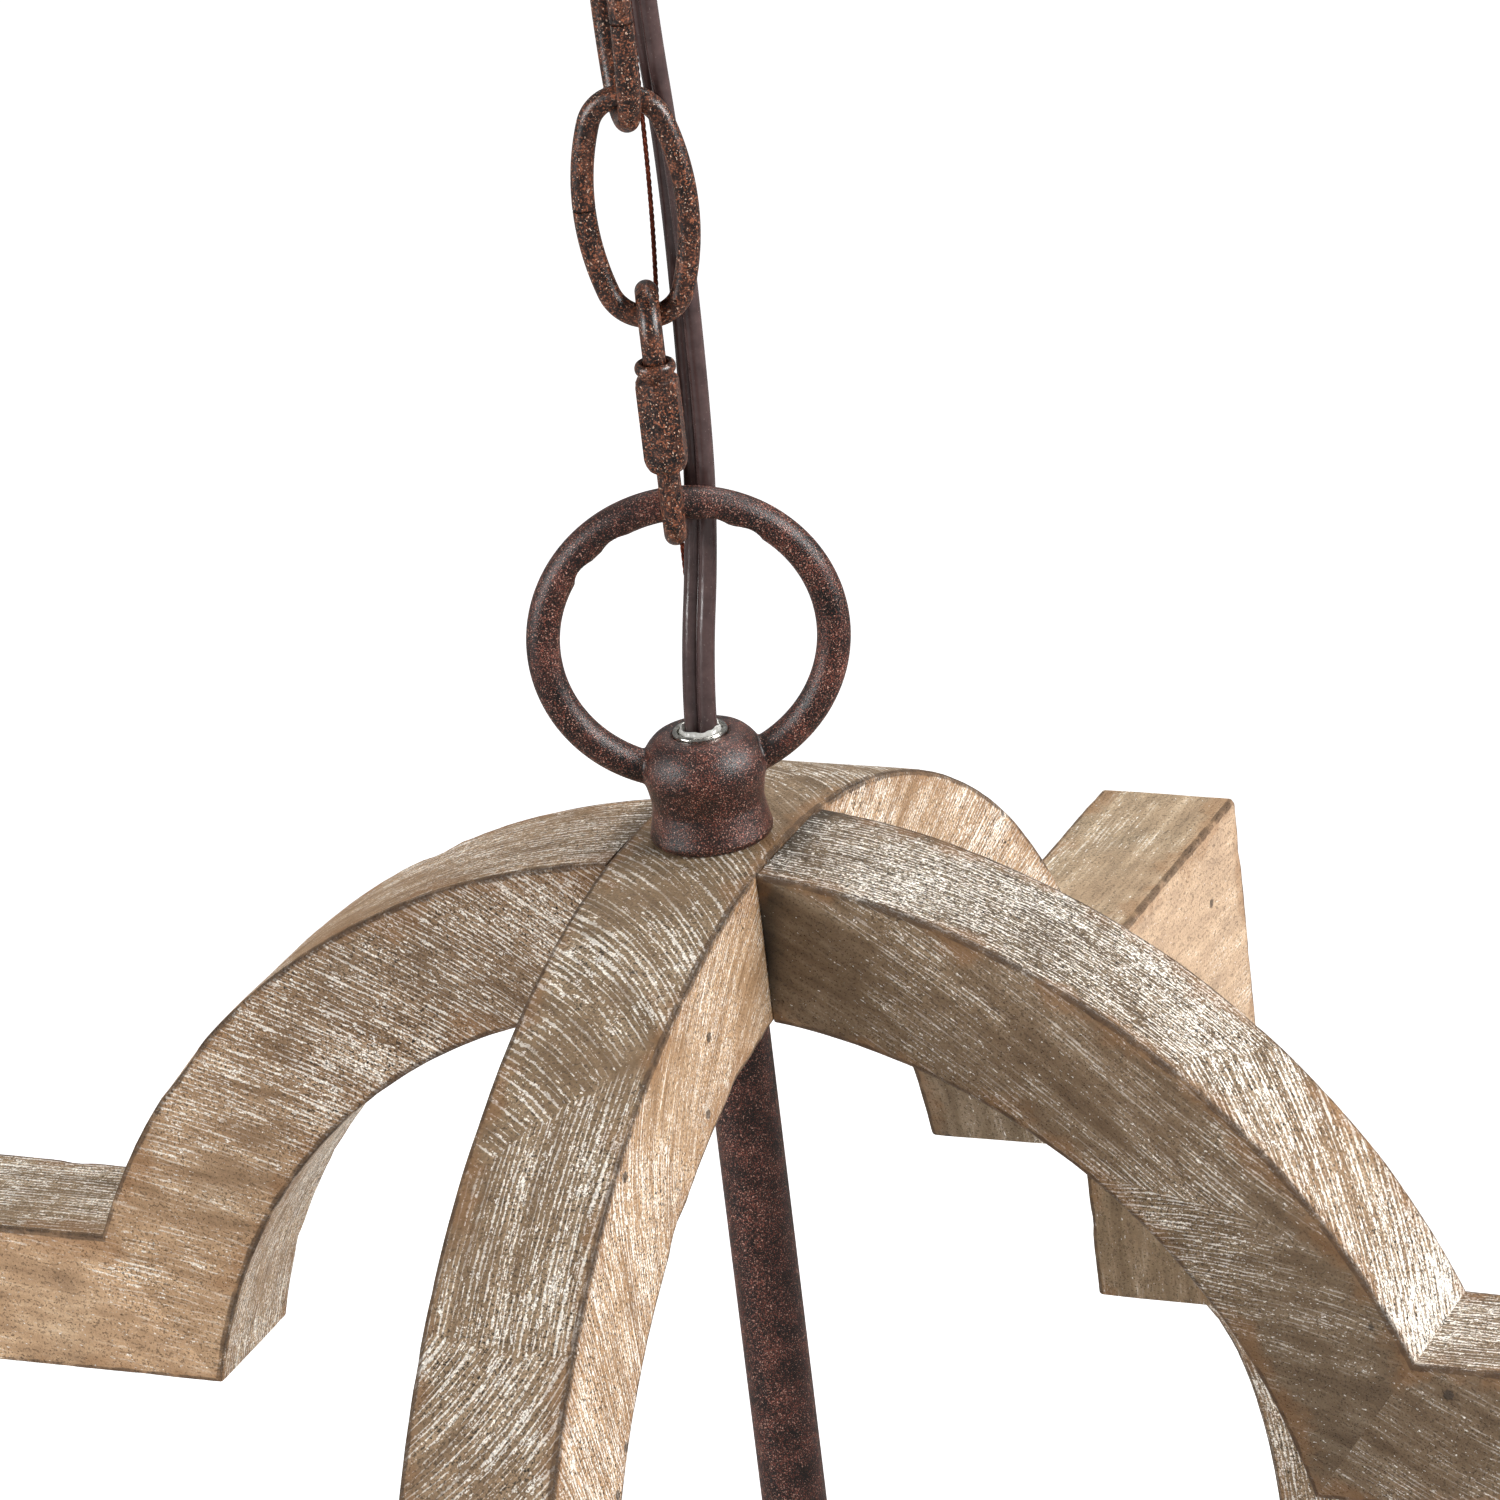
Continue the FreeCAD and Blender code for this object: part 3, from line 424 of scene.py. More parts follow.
def dress_cad_nodes():
    """Every CAD piece takes the finish of its slot."""
    for part in frame["record"]["subparts"]:
        mesh = frame["nodes"][part["node"]].data
        mesh.materials.clear()
        mesh.materials.append(MATERIALS[part["material_slot"]])


# Pieces
def piece(name, points, faces, body, slot, smooth_angle=40.0, material=None):
    """A mesh piece in millimetres that rides on a body, in the finish of its slot or another."""
    mesh = bpy.data.meshes.new(name)
    mesh.from_pydata([tuple(p) for p in np.asarray(points) * MM], [], faces)
    mesh.validate()
    mesh.shade_smooth()
    mesh.set_sharp_from_angle(angle=radians(smooth_angle))
    mesh.materials.append(material or MATERIALS[slot])
    obj = bpy.data.objects.new(name, mesh)
    bpy.context.scene.collection.objects.link(obj)
    if body:
        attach(obj, body)
    return obj


def ring_faces(rows, columns, ends="capped"):
    """Quads between closed rings of points; the end rings are capped, joined or left open."""
    faces = []
    for i in range(rows if ends == "joined" else rows - 1):
        this, other = i * columns, (i + 1) % rows * columns
        for j in range(columns):
            k = (j + 1) % columns
            faces.append((this + j, this + k, other + k, other + j))
    if ends == "capped":
        faces.append(tuple(range(columns))[::-1])
        faces.append(tuple(range((rows - 1) * columns, rows * columns)))
    return faces


# Wooden bars
OUTER, LEFT, INNER, FRONT = range(4)  # faces of a bar: the last is right on the long frame
SIDE_STOPS = (-1.0, -0.94, -0.84, -0.66, -0.4, 0.0, 0.4, 0.66, 0.84, 0.94, 1.0)
MIDDLE_STOP = SIDE_STOPS.index(0.0)
CORNER_STEPS = 3


def bar_section():
    """Points round a bar: across, depth, face and distance to the nearest edge."""
    h, r = BAR / 2, EDGE_RADIUS
    rows = []
    for side in range(4):
        turn = Matrix.Rotation(-side * pi / 2, 2)
        for stop in SIDE_STOPS:
            d, q = turn @ Vector((stop * (h - r), h))
            rows.append((q, d, side, (h - r) * (1 - abs(stop))))
        for k in range(1, CORNER_STEPS):
            a = k / CORNER_STEPS * pi / 2
            d, q = turn @ Vector((h - r + r * sin(a), h - r + r * cos(a)))
            rows.append((q, d, side if k * 2 <= CORNER_STEPS else (side + 1) % 4, 0.0))
    return np.array(rows)


SECTION = bar_section()

# Brushed lines of a face: how they lie, the length and width of a stroke, and places along the
# bar with their angle to it, or places across the frame with their angle to the level
ALONG = ((-1, 0), (1, 0))
CROSS_LINES = ((-256, 0), (-150, -3), (-100, -10), (-25, -33), (15, -30), (70, -42), (115, -30),
               (150, -5), (256, 0))
LONG_LINES = ((-256, 3), (-120, -6), (0, 8), (120, -6), (256, 0))
USUAL_BRUSH = {OUTER: ("bar", 9.0, 0.9, ALONG), LEFT: ("frame", 7.0, 0.9, None),
               INNER: ("bar", 8.0, 0.9, ALONG), FRONT: ("frame", 7.0, 0.9, None)}
BRUSH = {
    ("long_top_arch", OUTER): ("bar", 12.0, 0.9, ALONG),
    ("long_top_arch", FRONT): ("bar", 9.0, 1.0, ((-125, 85), (-75, 88), (-45, 46), (0, 46),
                                                 (50, 82), (125, 95))),
    ("left_top_arch", OUTER): ("bar", 7.0, 0.9, ALONG),
    ("right_top_arch", OUTER): ("bar", 3.5, 0.8, ALONG),
}
# Where a face changes to other lines: the place, its lean across the bar, on which side of it,
# and those lines
BEYOND = {
    ("long_top_arch", OUTER): ((-58.5, -1.0, 1, ("arcs", 14.0, 1.15, (54.0, 1.12))),
                               (-93.0, 0.0, -1, ("bar", 14.0, 0.95, ((-115, -50), (-93, -28))))),
    ("right_top_arch", OUTER): ((80.0, 0.4, 1, ("bar", 14.0, 1.2, ((80, -38), (125, -42)))),),
    ("right_top_arch", FRONT): ((95.0, 1.5, 1, ("bar", 5.0, 0.7, ((80, 40), (125, 46)))),),
}
# Finish of a face: places along its bar, each with its white, olive and brightness; the brightness
# also holds painted shade, low at -12.6 and 12.6 by the butt joints
USUAL_FINISH = {OUTER: ((0, 0.55, 0.7, 0.0),), LEFT: ((0, 0.4, 0.25, 0.0),),
                INNER: ((0, 0.5, 0.6, 0.1),), FRONT: ((0, 0.4, 0.25, 0.0),)}
FINISH_AND_SHADE = {
    ("left_top_arch", INNER): ((0, 0.45, 0.4, 0.75),),
    # The rows at -12.6, by the butt joint, darken the left arch as painted shade in the crease.
    ("left_top_arch", OUTER): ((-120, 0.1, 0.0, 0.3), (-60, 0.15, 0.15, 0.2),
                               (-16, 0.25, 0.5, 0.1), (-12.6, 0.0, 0.5, -1.2)),
    ("left_top_arch", FRONT): ((-125, -0.15, 0.0, 0.28), (-100, 0.2, 0.0, 0.08),
                               (-75, 0.55, 0.0, -0.25), (-45, 0.38, 0.0, -0.62),
                               (-16, 0.3, 0.0, -0.62), (-12.6, 0.0, 0.3, -1.3)),
    ("left_top_corner", OUTER): ((0, 0.2, 0.7, 0.3),),
    ("left_top_corner", FRONT): ((0, -0.05, 0.0, 0.75),),
    ("left_top_corner", INNER): ((0, 0.4, 0.4, 0.35),),
    # The rows at 12.6 to 16, by the butt joint, darken the right arch as painted shade in the
    # crease.
    ("right_top_arch", OUTER): ((12.6, 0.2, 0.9, -1.3), (15.5, 0.3, 0.7, -0.5),
                                (50, 0.6, 0.9, -0.5), (80, 0.6, 0.6, -0.4), (100, 0.5, 0.2, -0.2),
                                (118, 0.75, 0.3, -0.2), (124, 1.3, 0.5, 0.1)),
    ("right_top_arch", FRONT): ((12.6, -0.5, 0.5, -1.7), (16, -0.5, 0.5, -0.75),
                                (40, -0.05, 0.5, -0.45), (80, 0.08, 0.5, -0.42),
                                (125, -0.32, 0.5, -0.8)),
    ("right_top_corner", OUTER): ((0, 0.55, 0.6, -0.45),),
    ("right_top_corner", FRONT): ((0, 0.0, 0.5, -0.6),),
    ("long_top_arch", OUTER): ((-125, 0.4, 0.4, 0.1), (-60, 0.14, 0.55, -0.12),
                               (0, -0.06, 0.6, -0.12), (125, 0.4, 0.8, -0.15)),
    ("long_top_arch", INNER): ((0, 0.2, 0.6, 0.0), (90, -0.3, 0.7, -0.25), (125, -0.5, 0.7, -0.3)),
    ("long_top_arch", FRONT): ((-125, 0.7, 0.0, 0.55), (-50, 0.2, 0.0, 0.55),
                               (125, 0.4, 0.0, 0.55)),
    ("long_rear_top_corner", OUTER): ((0, -0.45, 0.75, 0.8),),
    ("long_rear_top_corner", FRONT): ((0, -0.3, 0.1, 1.05),),
    ("long_rear_top_corner", INNER): ((0, -0.3, 0.7, 0.15),),
}
SLOPE_COSINE = 0.93  # of the lines that cross a whole frame, on average
LINE_POINTS = 400  # of such a line
SEED_SHIFT = (0.37, 1.9)  # strokes along and across, from one bar's seed to the next
FACE_SHIFT = 40  # strokes in depth between the faces of a bar
NOWHERE = -99.0  # place past a change of lines, on a face that has no change
STEP = 2.0  # length of a bar's quads

# Wood that isn't quite true: waves, dents and nicks, each by how close they are and how deep
WAVES = ((0.022, 0.28), (0.09, 0.10))
DENTS = (0.11, 1.2)
DENT_ONSET = 0.3
NICKS = (0.55, 0.12)
EDGE_REACH = 2.5  # from an edge, as far as dents and nicks go


def strokes(brush, s, c, flat, table, seed):
    """Stroke coordinates of a face's points, in strokes along and across."""
    kind, length, width, turns = brush
    if kind == "frame":
        place, angle = np.array(table).T
        grid = np.linspace(place[0], place[-1], LINE_POINTS)
        fall = np.cumsum(np.tan(np.radians(np.interp(grid, place, angle)))) * (grid[1] - grid[0])
        along = flat[..., 0] / SLOPE_COSINE
        over = (flat[..., 1] - np.interp(flat[..., 0], grid, fall)) * SLOPE_COSINE
        seed = 0
    elif kind == "arcs":
        a = np.radians(turns[0] + turns[1] * c)
        over = (np.log(np.sin(a)) / radians(turns[1]) - s) * sin(radians(turns[0]))
        along = c / sin(radians(turns[0]))
    else:
        place, angle = np.array(turns).T
        a = np.radians(np.interp(s, place, angle))
        ds = np.diff(s, axis=0, prepend=s[:1])
        over = c * np.cos(a) - np.cumsum(np.sin(a) * ds, axis=0)
        along = np.cumsum(np.cos(a) * ds, axis=0) + c * np.sin(a)
    return np.stack([along / length + seed * SEED_SHIFT[0],
                     over / width + seed * SEED_SHIFT[1]], -1)


def brushed(name, s, flat, table):
    """Stroke coordinates, the change to other lines and the finish with its painted shade, for a
    bar's points.
    """
    seed = sum(ord(letter) * (i + 3) for i, letter in enumerate(name)) % 97
    q = np.broadcast_to(SECTION[:, 0], s.shape)
    d = np.broadcast_to(SECTION[:, 1], s.shape)
    near, far = np.zeros(s.shape + (3,)), np.zeros(s.shape + (3,))
    beyond, finish = np.full(s.shape, NOWHERE), np.zeros(s.shape + (3,))
    for side in range(4):
        cols = np.where(SECTION[:, 2] == side)[0]
        c, deep = (d, q) if side in (OUTER, INNER) else (q, d)
        c, sk, plane = c[:, cols], s[:, cols], flat[:, cols]
        brush = BRUSH.get((name, side), USUAL_BRUSH[side])
        near[:, cols, :2] = strokes(brush, sk, c, plane, table, seed)
        near[:, cols, 2] = deep[:, cols] / brush[2] + FACE_SHIFT * side
        for place, lean, way, brush in BEYOND.get((name, side), ()):
            reach = way * (sk - place - lean * c)
            lines = strokes(brush, sk, c, plane, table, seed)
            lines = np.concatenate([lines, deep[:, cols, None] / brush[2] + FACE_SHIFT * side], -1)
            nearer = reach > beyond[:, cols]
            far[:, cols] = np.where(nearer[..., None], lines, far[:, cols])
            beyond[:, cols] = np.where(nearer, reach, beyond[:, cols])
        rows = np.array(FINISH_AND_SHADE.get((name, side), USUAL_FINISH[side]))
        for k in range(3):
            finish[:, cols, k] = np.interp(sk, rows[:, 0], rows[:, k + 1])
    return near, far, beyond, finish


def worn(points, normals, edge):
    """Points of a bar with its slow waves, and with small knocks along its edges."""
    moved = points.copy()
    for i, (p, n) in enumerate(zip(points, normals)):
        wave = sum(noise.noise(Vector(p) * close) * high for close, high in WAVES)
        knock = 0.0
        if edge[i] < EDGE_REACH:
            near = 1 - edge[i] / EDGE_REACH
            dent = noise.noise(Vector(p) * DENTS[0] + Vector((5, 9, 2)))
            knock = max(0.0, dent - DENT_ONSET) * DENTS[1] * near
            knock += NICKS[1] * abs(noise.noise(Vector(p) * NICKS[0])) * near
        moved[i] = p + n * (wave - knock)
    return moved


def wooden(name, u, v, s, quarter, along_y):
    """A bar from rows of section points: u and v in the frame's plane, s along the bar."""
    rows, columns = u.shape
    d = np.broadcast_to(SECTION[:, 1], u.shape)
    local = np.stack([u, d, v], axis=-1).reshape(-1, 3)
    centre = np.stack([u.mean(1), 0 * u.mean(1), v.mean(1)], axis=-1)
    outer = np.stack([u[:, MIDDLE_STOP], 0 * u[:, MIDDLE_STOP], v[:, MIDDLE_STOP]], axis=-1)
    across = outer - centre
    across /= np.linalg.norm(across, axis=1, keepdims=True)
    lean = np.clip(SECTION[:, :2] / (BAR / 2), -1, 1) ** 9  # steep only round the edges
    lean /= np.maximum(np.linalg.norm(lean, axis=1, keepdims=True), 1e-6)
    normal = (across[:, None, :] * lean[None, :, :1]
              + np.array([0.0, 1.0, 0.0])[None, None, :] * lean[None, :, 1:]).reshape(-1, 3)

    turn = Matrix.Rotation(radians(90 * quarter), 3, "Y")
    if along_y:
        turn = Matrix.Rotation(radians(90), 3, "Z") @ turn
    turn = np.array(turn)
    level = local @ turn.T
    points = level + np.array([0, 0, FRAME_Z])
    normals = normal @ turn.T
    edge = np.tile(SECTION[:, 3], rows)
    points = worn(points, normals, edge)

    obj = piece("wood_" + name, points, ring_faces(rows, columns), "lantern", "weathered_wood")
    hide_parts(name)
    flat = np.stack([level[:, 1 if along_y else 0], level[:, 2]], -1).reshape(rows, columns, 2)
    near, far, beyond, finish = brushed(name, s, flat, LONG_LINES if along_y else CROSS_LINES)
    # The finish attribute also carries the painted shade by the butt joints, in its brightness.
    for label, kind, values in (("grain", "FLOAT_VECTOR", near),
                                ("grain_beyond", "FLOAT_VECTOR", far),
                                ("finish", "FLOAT_VECTOR", finish), ("beyond", "FLOAT", beyond),
                                ("edge", "FLOAT", edge)):
        field = obj.data.attributes.new(label, kind, "POINT")
        field.data.foreach_set("vector" if kind == "FLOAT_VECTOR" else "value",
                               np.ascontiguousarray(values, np.float32).reshape(-1))


def joint_angle(r):
    """Where the joint from the notch to the cusp cuts a circle round the lobe."""
    t = np.linspace(-0.05, 1.05, 200)
    x, y = CUSP + t * (NOTCH - CUSP), INSIDE + t * BAR - LOBE_MID
    return np.interp(r, np.hypot(x, y), np.arctan2(y, x))


def arch(name, quarter, along_y, part=0):
    """A lobe between its two joints, or its right or left part as far as the long frame."""
    r = BAR_RADIUS + SECTION[:, 0]
    low = joint_angle(r)
    first, last = pi - low, low
    reach = BAR / 2 + BUTT_GAP
    if part > 0:
        first = np.arccos(reach / r)
    elif part < 0:
        last = pi - np.arccos(reach / r)
    rows = int(BAR_RADIUS * (first - last).mean() / STEP) + 1
    t = np.linspace(0, 1, rows)[:, None]
    a = first + (last - first) * t
    s = (pi / 2 - a) * BAR_RADIUS
    wooden(name, r * np.cos(a), LOBE_MID + r * np.sin(a), s, quarter, along_y)


def corner(name, quarter, along_y):
    """A square corner between two joints, its two legs cut from one board."""
    k = SECTION[:, 0] / BAR + 0.5
    start = np.stack([CUSP + k * (NOTCH - CUSP), INSIDE + k * BAR], -1)
    turn = np.stack([INSIDE + k * BAR, INSIDE + k * BAR], -1)
    end = start[:, ::-1]
    blunt = EDGE_RADIUS * k[:, None]
    rows = int((INSIDE - CUSP) / STEP) + 8
    t = np.linspace(0, 1, rows)[:, None, None]
    leg = start + (turn - blunt * (1, 0) - start) * t
    drop = (turn - blunt * (0, 1)) + (end - turn + blunt * (0, 1)) * t
    path = np.concatenate([leg, drop])
    mid = path.mean(1)
    s = np.concatenate([[0], np.cumsum(np.linalg.norm(np.diff(mid, axis=0), axis=1))])
    s = np.broadcast_to(s[:, None], path.shape[:2])
    wooden(name, path[..., 0], path[..., 1], s, quarter, along_y)


def wooden_frames():
    for quarter, place in enumerate(("top", "rear", "bottom", "front")):
        arch("long_%s_arch" % place, quarter, True)
    for quarter, place in enumerate(("rear_top", "rear_bottom", "front_bottom", "front_top")):
        corner("long_%s_corner" % place, quarter, True)
    for side, sign, corners in (("right", 1, (0, 1)), ("left", -1, (3, 2))):
        arch("%s_top_arch" % side, 0, False, sign)
        arch("%s_bottom_arch" % side, 2, False, -sign)
        arch("%s_side_arch" % side, 1 if sign > 0 else 3, False)
        for quarter, place in zip(corners, ("top", "bottom")):
            corner("%s_%s_corner" % (side, place), quarter, False)


# Cast and turned metal
def softened(node, voxel, rounds, body):
    """A CAD casting with its inner corners filled and its edges rounded."""
    mesh = frame["nodes"][node].data.copy()
    obj = bpy.data.objects.new("cast_" + node, mesh)
    bpy.context.scene.collection.objects.link(obj)
    grid = obj.modifiers.new("grid", "REMESH")
    grid.mode = "VOXEL"
    grid.voxel_size = voxel * MM
    ease = obj.modifiers.new("ease", "SMOOTH")
    ease.factor, ease.iterations = 0.5, rounds
    bpy.context.view_layer.update()
    graph = bpy.context.evaluated_depsgraph_get()
    shaped = bpy.data.meshes.new_from_object(obj.evaluated_get(graph))
    obj.modifiers.clear()
    obj.data = shaped
    shaped.shade_smooth()
    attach(obj, body)
    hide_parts(node)


def turned_rows(rows, sides, shape=None, start=0.0):
    """Rings of points from pairs of radius and height; shape changes the radius by angle."""
    points = []
    for r, z in rows:
        for j in range(sides):
            a = start + 2 * pi * j / sides
            k = shape(r, a) if shape else r
            points.append((k * cos(a), k * sin(a), z))
    return np.array(points)


NUT_FLATS = 6.2
NUT_BORE = 1.9  # radius
NUT_LENGTH = 17.6
NUT_TURN = radians(-10.0) + LOOP_TURN
NUT_SIDES = 96


def quick_link_nut():
    """A long hexagonal nut with a beaded collar at its top and a bevelled lower end."""
    low, high = (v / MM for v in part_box("quick_link_nut"))

    def hexed(r, a):
        """A radius held in by the flats, whose corners are a little worn."""
        turn = (a - NUT_TURN + pi / 6) % (pi / 3) - pi / 6
        flat = NUT_FLATS / 2 / cos(turn)
        return min(r, flat - 0.05 * max(0.0, abs(turn) / (pi / 6) - 0.8))

    bead = NUT_LENGTH - 1.15  # height of its middle
    rows = [(NUT_BORE, 0.3), (NUT_BORE + 0.35, 0.0), (2.45, 0.0), (2.75, 0.25), (3.15, 1.0),
            (3.40, 1.7), (3.60, 2.4), (3.62, 5.0), (3.62, 9.0), (3.62, 12.6), (3.55, 14.0),
            (3.30, 14.6), (2.85, 14.95), (2.62, 15.1), (2.62, 15.25)]
    rows += [(2.52 + 0.62 * cos(radians(a)), bead + 0.95 * sin(radians(a)))
             for a in range(-75, 91, 15)]
    rows += [(NUT_BORE + 0.25, NUT_LENGTH - 0.35), (NUT_BORE, NUT_LENGTH - 0.9)]
    points = turned_rows(rows, NUT_SIDES, hexed, NUT_TURN + pi / 6)
    middle = (low + high) / 2
    points += np.array([middle.x, middle.y, low.z])
    faces = ring_faces(len(rows), NUT_SIDES, "joined")
    obj = piece("hex_quick_link_nut", points, faces, "quick_link_nut", "chain_iron", 28.0)
    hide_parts("quick_link_nut")


EYELET_LIP = 0.42  # radius
EYELET_SIDES = 64
LINING_SIDES = 96


def bushing():
    """A bright eyelet round the flex, with crinkled clear plastic inside it."""
    low, high = (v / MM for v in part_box("cord_bushing"))
    radius, top = (high.x - low.x) / 2, high.z
    rim = [(radius - 0.05, low.z - top), (radius, -1.2)]
    rim += [(radius - EYELET_LIP + EYELET_LIP * cos(radians(a)), EYELET_LIP * sin(radians(a)) - 0.3)
            for a in range(0, 181, 20)]
    rim += [(radius - 2 * EYELET_LIP, -1.2), (radius - 0.8, low.z - top)]
    points = turned_rows(rim, EYELET_SIDES) + np.array([0, 0, top])
    faces = ring_faces(len(rim), EYELET_SIDES, "joined")
    eyelet = piece("eyelet", points, faces, "lantern", "clear_bushing", 60.0, EYELET)
    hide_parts("cord_bushing")

    def crinkled(r, a):
        return r + 0.28 * noise.noise(Vector((cos(a) * 2.2, sin(a) * 2.2, r + 3.0)))
    lining = [(radius - 0.9, -1.5), (radius - 1.0, -0.35), (radius - 1.15, 0.35),
              (radius - 1.4, 0.55), (radius - 1.6, 0.2), (radius - 1.7, -1.5)]
    points = turned_rows(lining, LINING_SIDES, crinkled)
    for p in points:
        if p[2] > -1.0:
            p[2] += 0.5 * noise.noise(Vector((p[0] * 0.9, p[1] * 0.9, 7.0)))
    points = points + np.array([0, 0, top])
    faces = ring_faces(len(lining), LINING_SIDES, "joined")
    piece("eyelet_lining", points, faces, "lantern", "clear_bushing", 60.0)


# Flexes
ENTRY = 172.15  # underside of the canopy's boss above the wood
ROUTE_TOP = 212.65
TWIST = ((9, 32), (40, 33), (75, 50), (110, 62), (150, 56), (213, 40))  # height and turn
# Stretches of a flex: the bodies at its lower and upper end, where it starts and ends, and where
# its bend starts and ends
SECTIONS = (("lantern", "quick_link", 9.0, 68.0, 30.0, 66.0),
            ("quick_link", "lower_link", 68.0, 102.0, 70.0, 100.0),
            ("lower_link", "upper_link", 102.0, 137.0, 104.0, 135.0),
            ("upper_link", "canopy", 137.0, ROUTE_TOP, 139.0, ENTRY - 1))


def beside(r, b, z):
    """A place by its distance right of the ring's middle, behind it and above the wood."""
    return RIGHT * r + BACK * b + Vector((0, 0, WOOD_TOP + z))


def along_spline(points):
    """Points along the smooth line that a route's points control."""
    curve = bpy.data.curves.new("route", "CURVE")
    curve.dimensions = "3D"
    curve.resolution_u = 40
    spline = curve.splines.new("NURBS")
    spline.points.add(len(points) - 1)
    for p, place in zip(spline.points, points):
        p.co = (*(place * MM), 1.0)
    spline.order_u = 3
    spline.use_endpoint_u = True
    holder = bpy.data.objects.new("route", curve)
    line = bpy.data.meshes.new_from_object(holder)
    found = np.array([v.co for v in line.vertices]) / MM
    bpy.data.objects.remove(holder)
    bpy.data.curves.remove(curve)
    bpy.data.meshes.remove(line)
    return found


def flat_profile():
    """Two round cores side by side with a groove between them."""
    r, off = FLEX_THICK / 2, (FLEX_WIDTH - FLEX_THICK) / 2
    open_angle = radians(150)
    lobe = [(off + r * cos(a), r * sin(a)) for a in np.linspace(-open_angle, open_angle, 22)]
    web = [(0.16, 0.62), (-0.16, 0.62)]
    return lobe + web + [(-x, -y) for x, y in lobe + web]


def tube_rows(line, profile, turn_of):
    """Rings of a profile along a line, its broad side turned by height."""
    tangents = np.gradient(line, axis=0)
    tangents /= np.linalg.norm(tangents, axis=1, keepdims=True)
    rings = []
    for p, t in zip(line, tangents):
        turn = radians(turn_of(p[2] - WOOD_TOP))
        wide = np.array(RIGHT * cos(turn) - BACK * sin(turn))
        wide = wide - t * (wide @ t)
        wide /= np.linalg.norm(wide)
        thin = np.cross(t, wide)
        rings.append([p + wide * x + thin * y for x, y in profile])
    return np.array(rings)


def flex_pieces(name, node, line, cores, slot):
    """A flex in stretches, one for each joint that it passes."""
    heights = line[:, 2] - WOOD_TOP
    for low_body, high_body, low, high, bend_from, bend_to in SECTIONS:
        first = np.searchsorted(heights, low)
        last = min(np.searchsorted(heights, high), len(line) - 1)
        points, faces = [], []
        for core in cores:
            base = len(points)
            rings = core[first:last + 1]
            rows, columns = rings.shape[:2]
            points.extend(rings.reshape(-1, 3))
            faces.extend(tuple(base + k for k in f) for f in ring_faces(rows, columns))
        obj = piece("%s_%s" % (name, low_body), np.array(points), faces, None, slot, 50.0)
        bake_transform(obj)
        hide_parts(node)


def power_cord():
    route = [beside(0, 0, 9.0), beside(0, 0, 22.5), beside(4.3, 6.0, 49.0), beside(5.5, 6.2, 74.0),
             beside(5.9, 5.4, 106.0), beside(4.6, 5.2, 133.0), beside(4.9, 5.0, 152.0),
             beside(0, 0, ENTRY + 2.0), beside(0, 0, ROUTE_TOP)]
    line = along_spline(route)
    heights, turns = zip(*TWIST)
    rings = tube_rows(line, flat_profile(), lambda z: np.interp(z, heights, turns))
    flex_pieces("flex", "power_cord", line, [rings], "brown_flex")


STRANDS = 3
STRAND_RADIUS = GROUND_DIA * 0.29
STRAND_OFFSET = GROUND_DIA / 2 - STRAND_RADIUS  # from the middle of the wire
STRAND_PITCH = 3.4
GROUND_SIDE = radians(40.0)  # turn of the flex where the wire comes out and goes in beside it


def ground_wire():
    wide = RIGHT * cos(GROUND_SIDE) - BACK * sin(GROUND_SIDE)
    thin = RIGHT * sin(GROUND_SIDE) + BACK * cos(GROUND_SIDE)
    off = thin * (FLEX_THICK / 2 + GROUND_DIA / 2 + 0.2)
    low_side, top_side = off - wide * 0.8, off * -1 - wide * 0.8
    route = [beside(0, 0, 9.0) + low_side, beside(0, 0, 20.0) + low_side, beside(0.7, 9.4, 46.0),
             beside(1.0, 9.2, 78.0), beside(2.4, 4.8, 100.0), beside(2.7, 4.0, 121.0),
             beside(2.8, 3.3, 149.0), beside(0, 0, ENTRY + 3.0) + top_side,
             beside(0, 0, ROUTE_TOP) + top_side]
    line = along_spline(route)
    circle = [(STRAND_RADIUS * cos(a), STRAND_RADIUS * sin(a))
              for a in np.linspace(0, 2 * pi, 9)[:-1]]
    profile = [(x + STRAND_OFFSET, y) for x, y in circle]
    strands = []
    for k in range(STRANDS):
        strands.append(tube_rows(line, profile, lambda z: 360 * (z / STRAND_PITCH + k / STRANDS)))
    flex_pieces("ground", "ground_wire", line, strands, "bare_copper")


# Stage, light and camera
WHITE = (1.0, 1.0, 1.0, 1.0)
# Lights: degrees round from the camera, elevation, distance and size in metres, and watts
LIGHTS = (("left_box", -70, 22, 1.7, 0.7, 19), ("right_box", 68, 30, 1.7, 0.7, 32),
          ("top_box", 150, 72, 1.8, 1.0, 24))
WORLD_STRENGTH = 0.26


def screen(name, points, faces, finish, glow):
    """A matt white surface that also glows."""
    mesh = bpy.data.meshes.new(name)
    mesh.from_pydata(points, [], faces)
    mesh.materials.append(Shader(finish).finish((0.86, 0.86, 0.86, 1.0), 0.9, Emission_Color=WHITE,
                                                Emission_Strength=glow))
    obj = bpy.data.objects.new(name, mesh)
    bpy.context.scene.collection.objects.link(obj)
    return obj


def floor():
    size, depth = 12.0, -1.25
    obj = screen("floor", [(-size, -size, depth), (size, -size, depth), (size, size, depth),
                           (-size, size, depth)], [(0, 1, 2, 3)], "pale_floor", 0.80)
    obj.visible_glossy = False


def backdrop():
    """A white wall all round, well behind everything, that lights nothing."""
    radius, low, high, sides = 11.0, -1.3, 9.0, 64
    points = turned_rows([(radius, low), (radius, high)], sides)
    obj = screen("backdrop", points.tolist(), ring_faces(2, sides, "open"), "white_wall", 1.0)
    obj.visible_diffuse = obj.visible_glossy = obj.visible_shadow = False


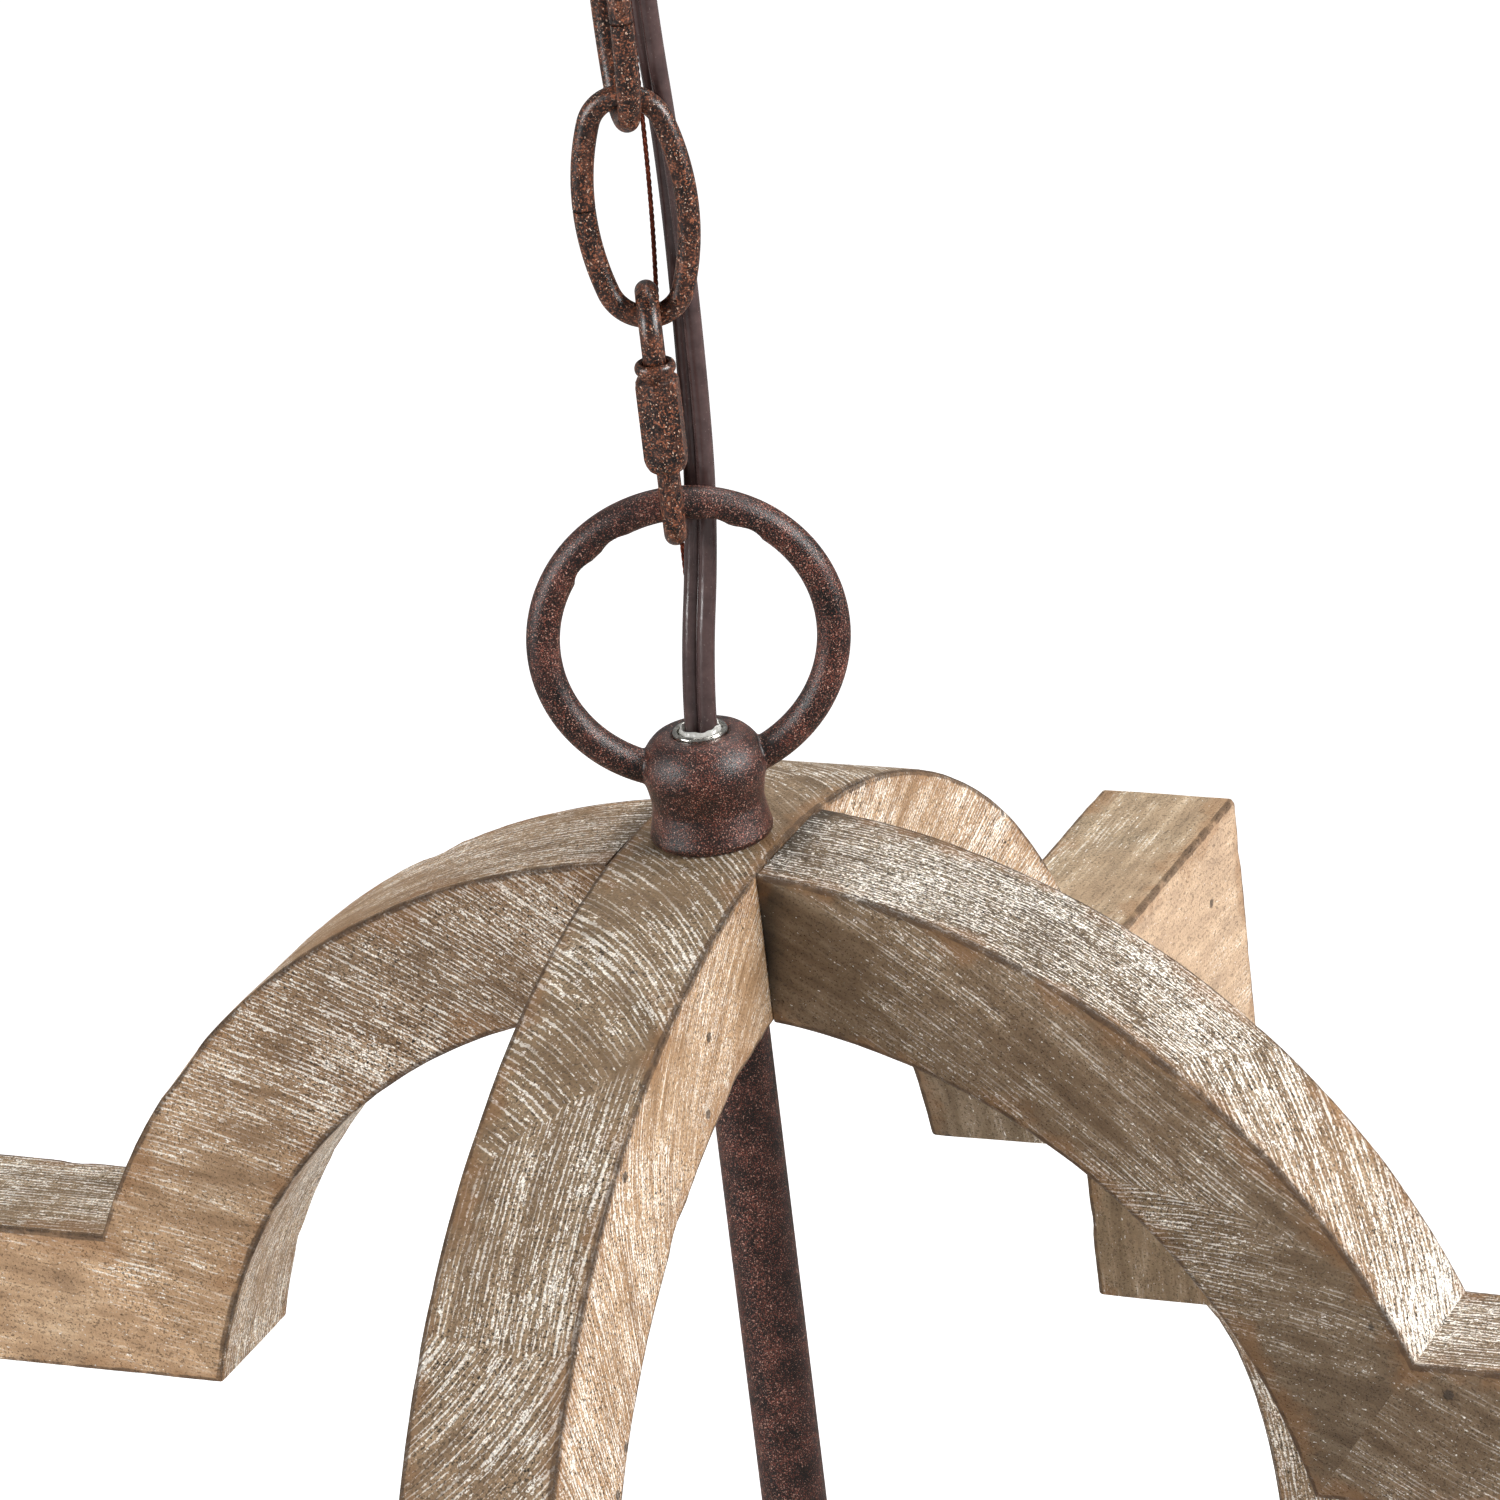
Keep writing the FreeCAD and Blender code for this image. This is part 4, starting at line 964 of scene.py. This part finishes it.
def direction(azimuth, elevation):
    """The way from the lantern to a place round it, by angles in degrees."""
    a, e = radians(azimuth), radians(elevation)
    return Vector((sin(a) * cos(e), -cos(a) * cos(e), sin(e)))


def softbox(name, azimuth, elevation, distance, size, power):
    """A square light that faces the lantern, by its direction from it."""
    aim = Vector((0, 0, FRAME_Z + 100)) * MM
    back = direction(azimuth, elevation)
    light = bpy.data.lights.new(name, "AREA")
    light.shape, light.size, light.energy = "SQUARE", size, power
    obj = bpy.data.objects.new(name, light)
    obj.location = aim + back * distance
    obj.rotation_mode = "QUATERNION"
    obj.rotation_quaternion = (-back).to_track_quat("-Z", "Y")
    bpy.context.scene.collection.objects.link(obj)


def studio():
    floor()
    backdrop()
    for name, turn, elevation, distance, size, power in LIGHTS:
        softbox(name, CAMERA_AZIMUTH + turn, elevation, distance, size, power)
    world = bpy.data.worlds.new("studio")
    world.use_nodes = True
    sky = world.node_tree.nodes["Background"].inputs
    sky["Color"].default_value = WHITE
    sky["Strength"].default_value = WORLD_STRENGTH
    bpy.context.scene.world = world
    bpy.context.scene.view_settings.view_transform = "Standard"
    bpy.context.scene.view_settings.look = "None"


def camera():
    data = bpy.data.cameras.new("camera")
    data.lens, data.sensor_width = CAMERA_LENS, CAMERA_SENSOR
    data.clip_start, data.clip_end = 0.05, 60.0
    obj = bpy.data.objects.new("camera", data)
    a = radians(CAMERA_AZIMUTH)
    right = Vector((cos(a), sin(a), 0))
    back = direction(CAMERA_AZIMUTH, CAMERA_ELEVATION)
    up = back.cross(right)
    level = Matrix((right, up, back)).transposed().to_4x4()
    obj.matrix_world = (Matrix.Translation(Vector(CAMERA_PLACE) * MM) @ level
                        @ Matrix.Rotation(radians(CAMERA_ROLL), 4, "Z"))
    bpy.context.scene.collection.objects.link(obj)
    bpy.context.scene.camera = obj


camera()
dress_cad_nodes()
power_cord()
ground_wire()
wooden_frames()
softened("hanging_loop", 0.27, 1, "lantern")
softened("canopy_loop", 0.3, 3, "canopy")
quick_link_nut()
bushing()
studio()
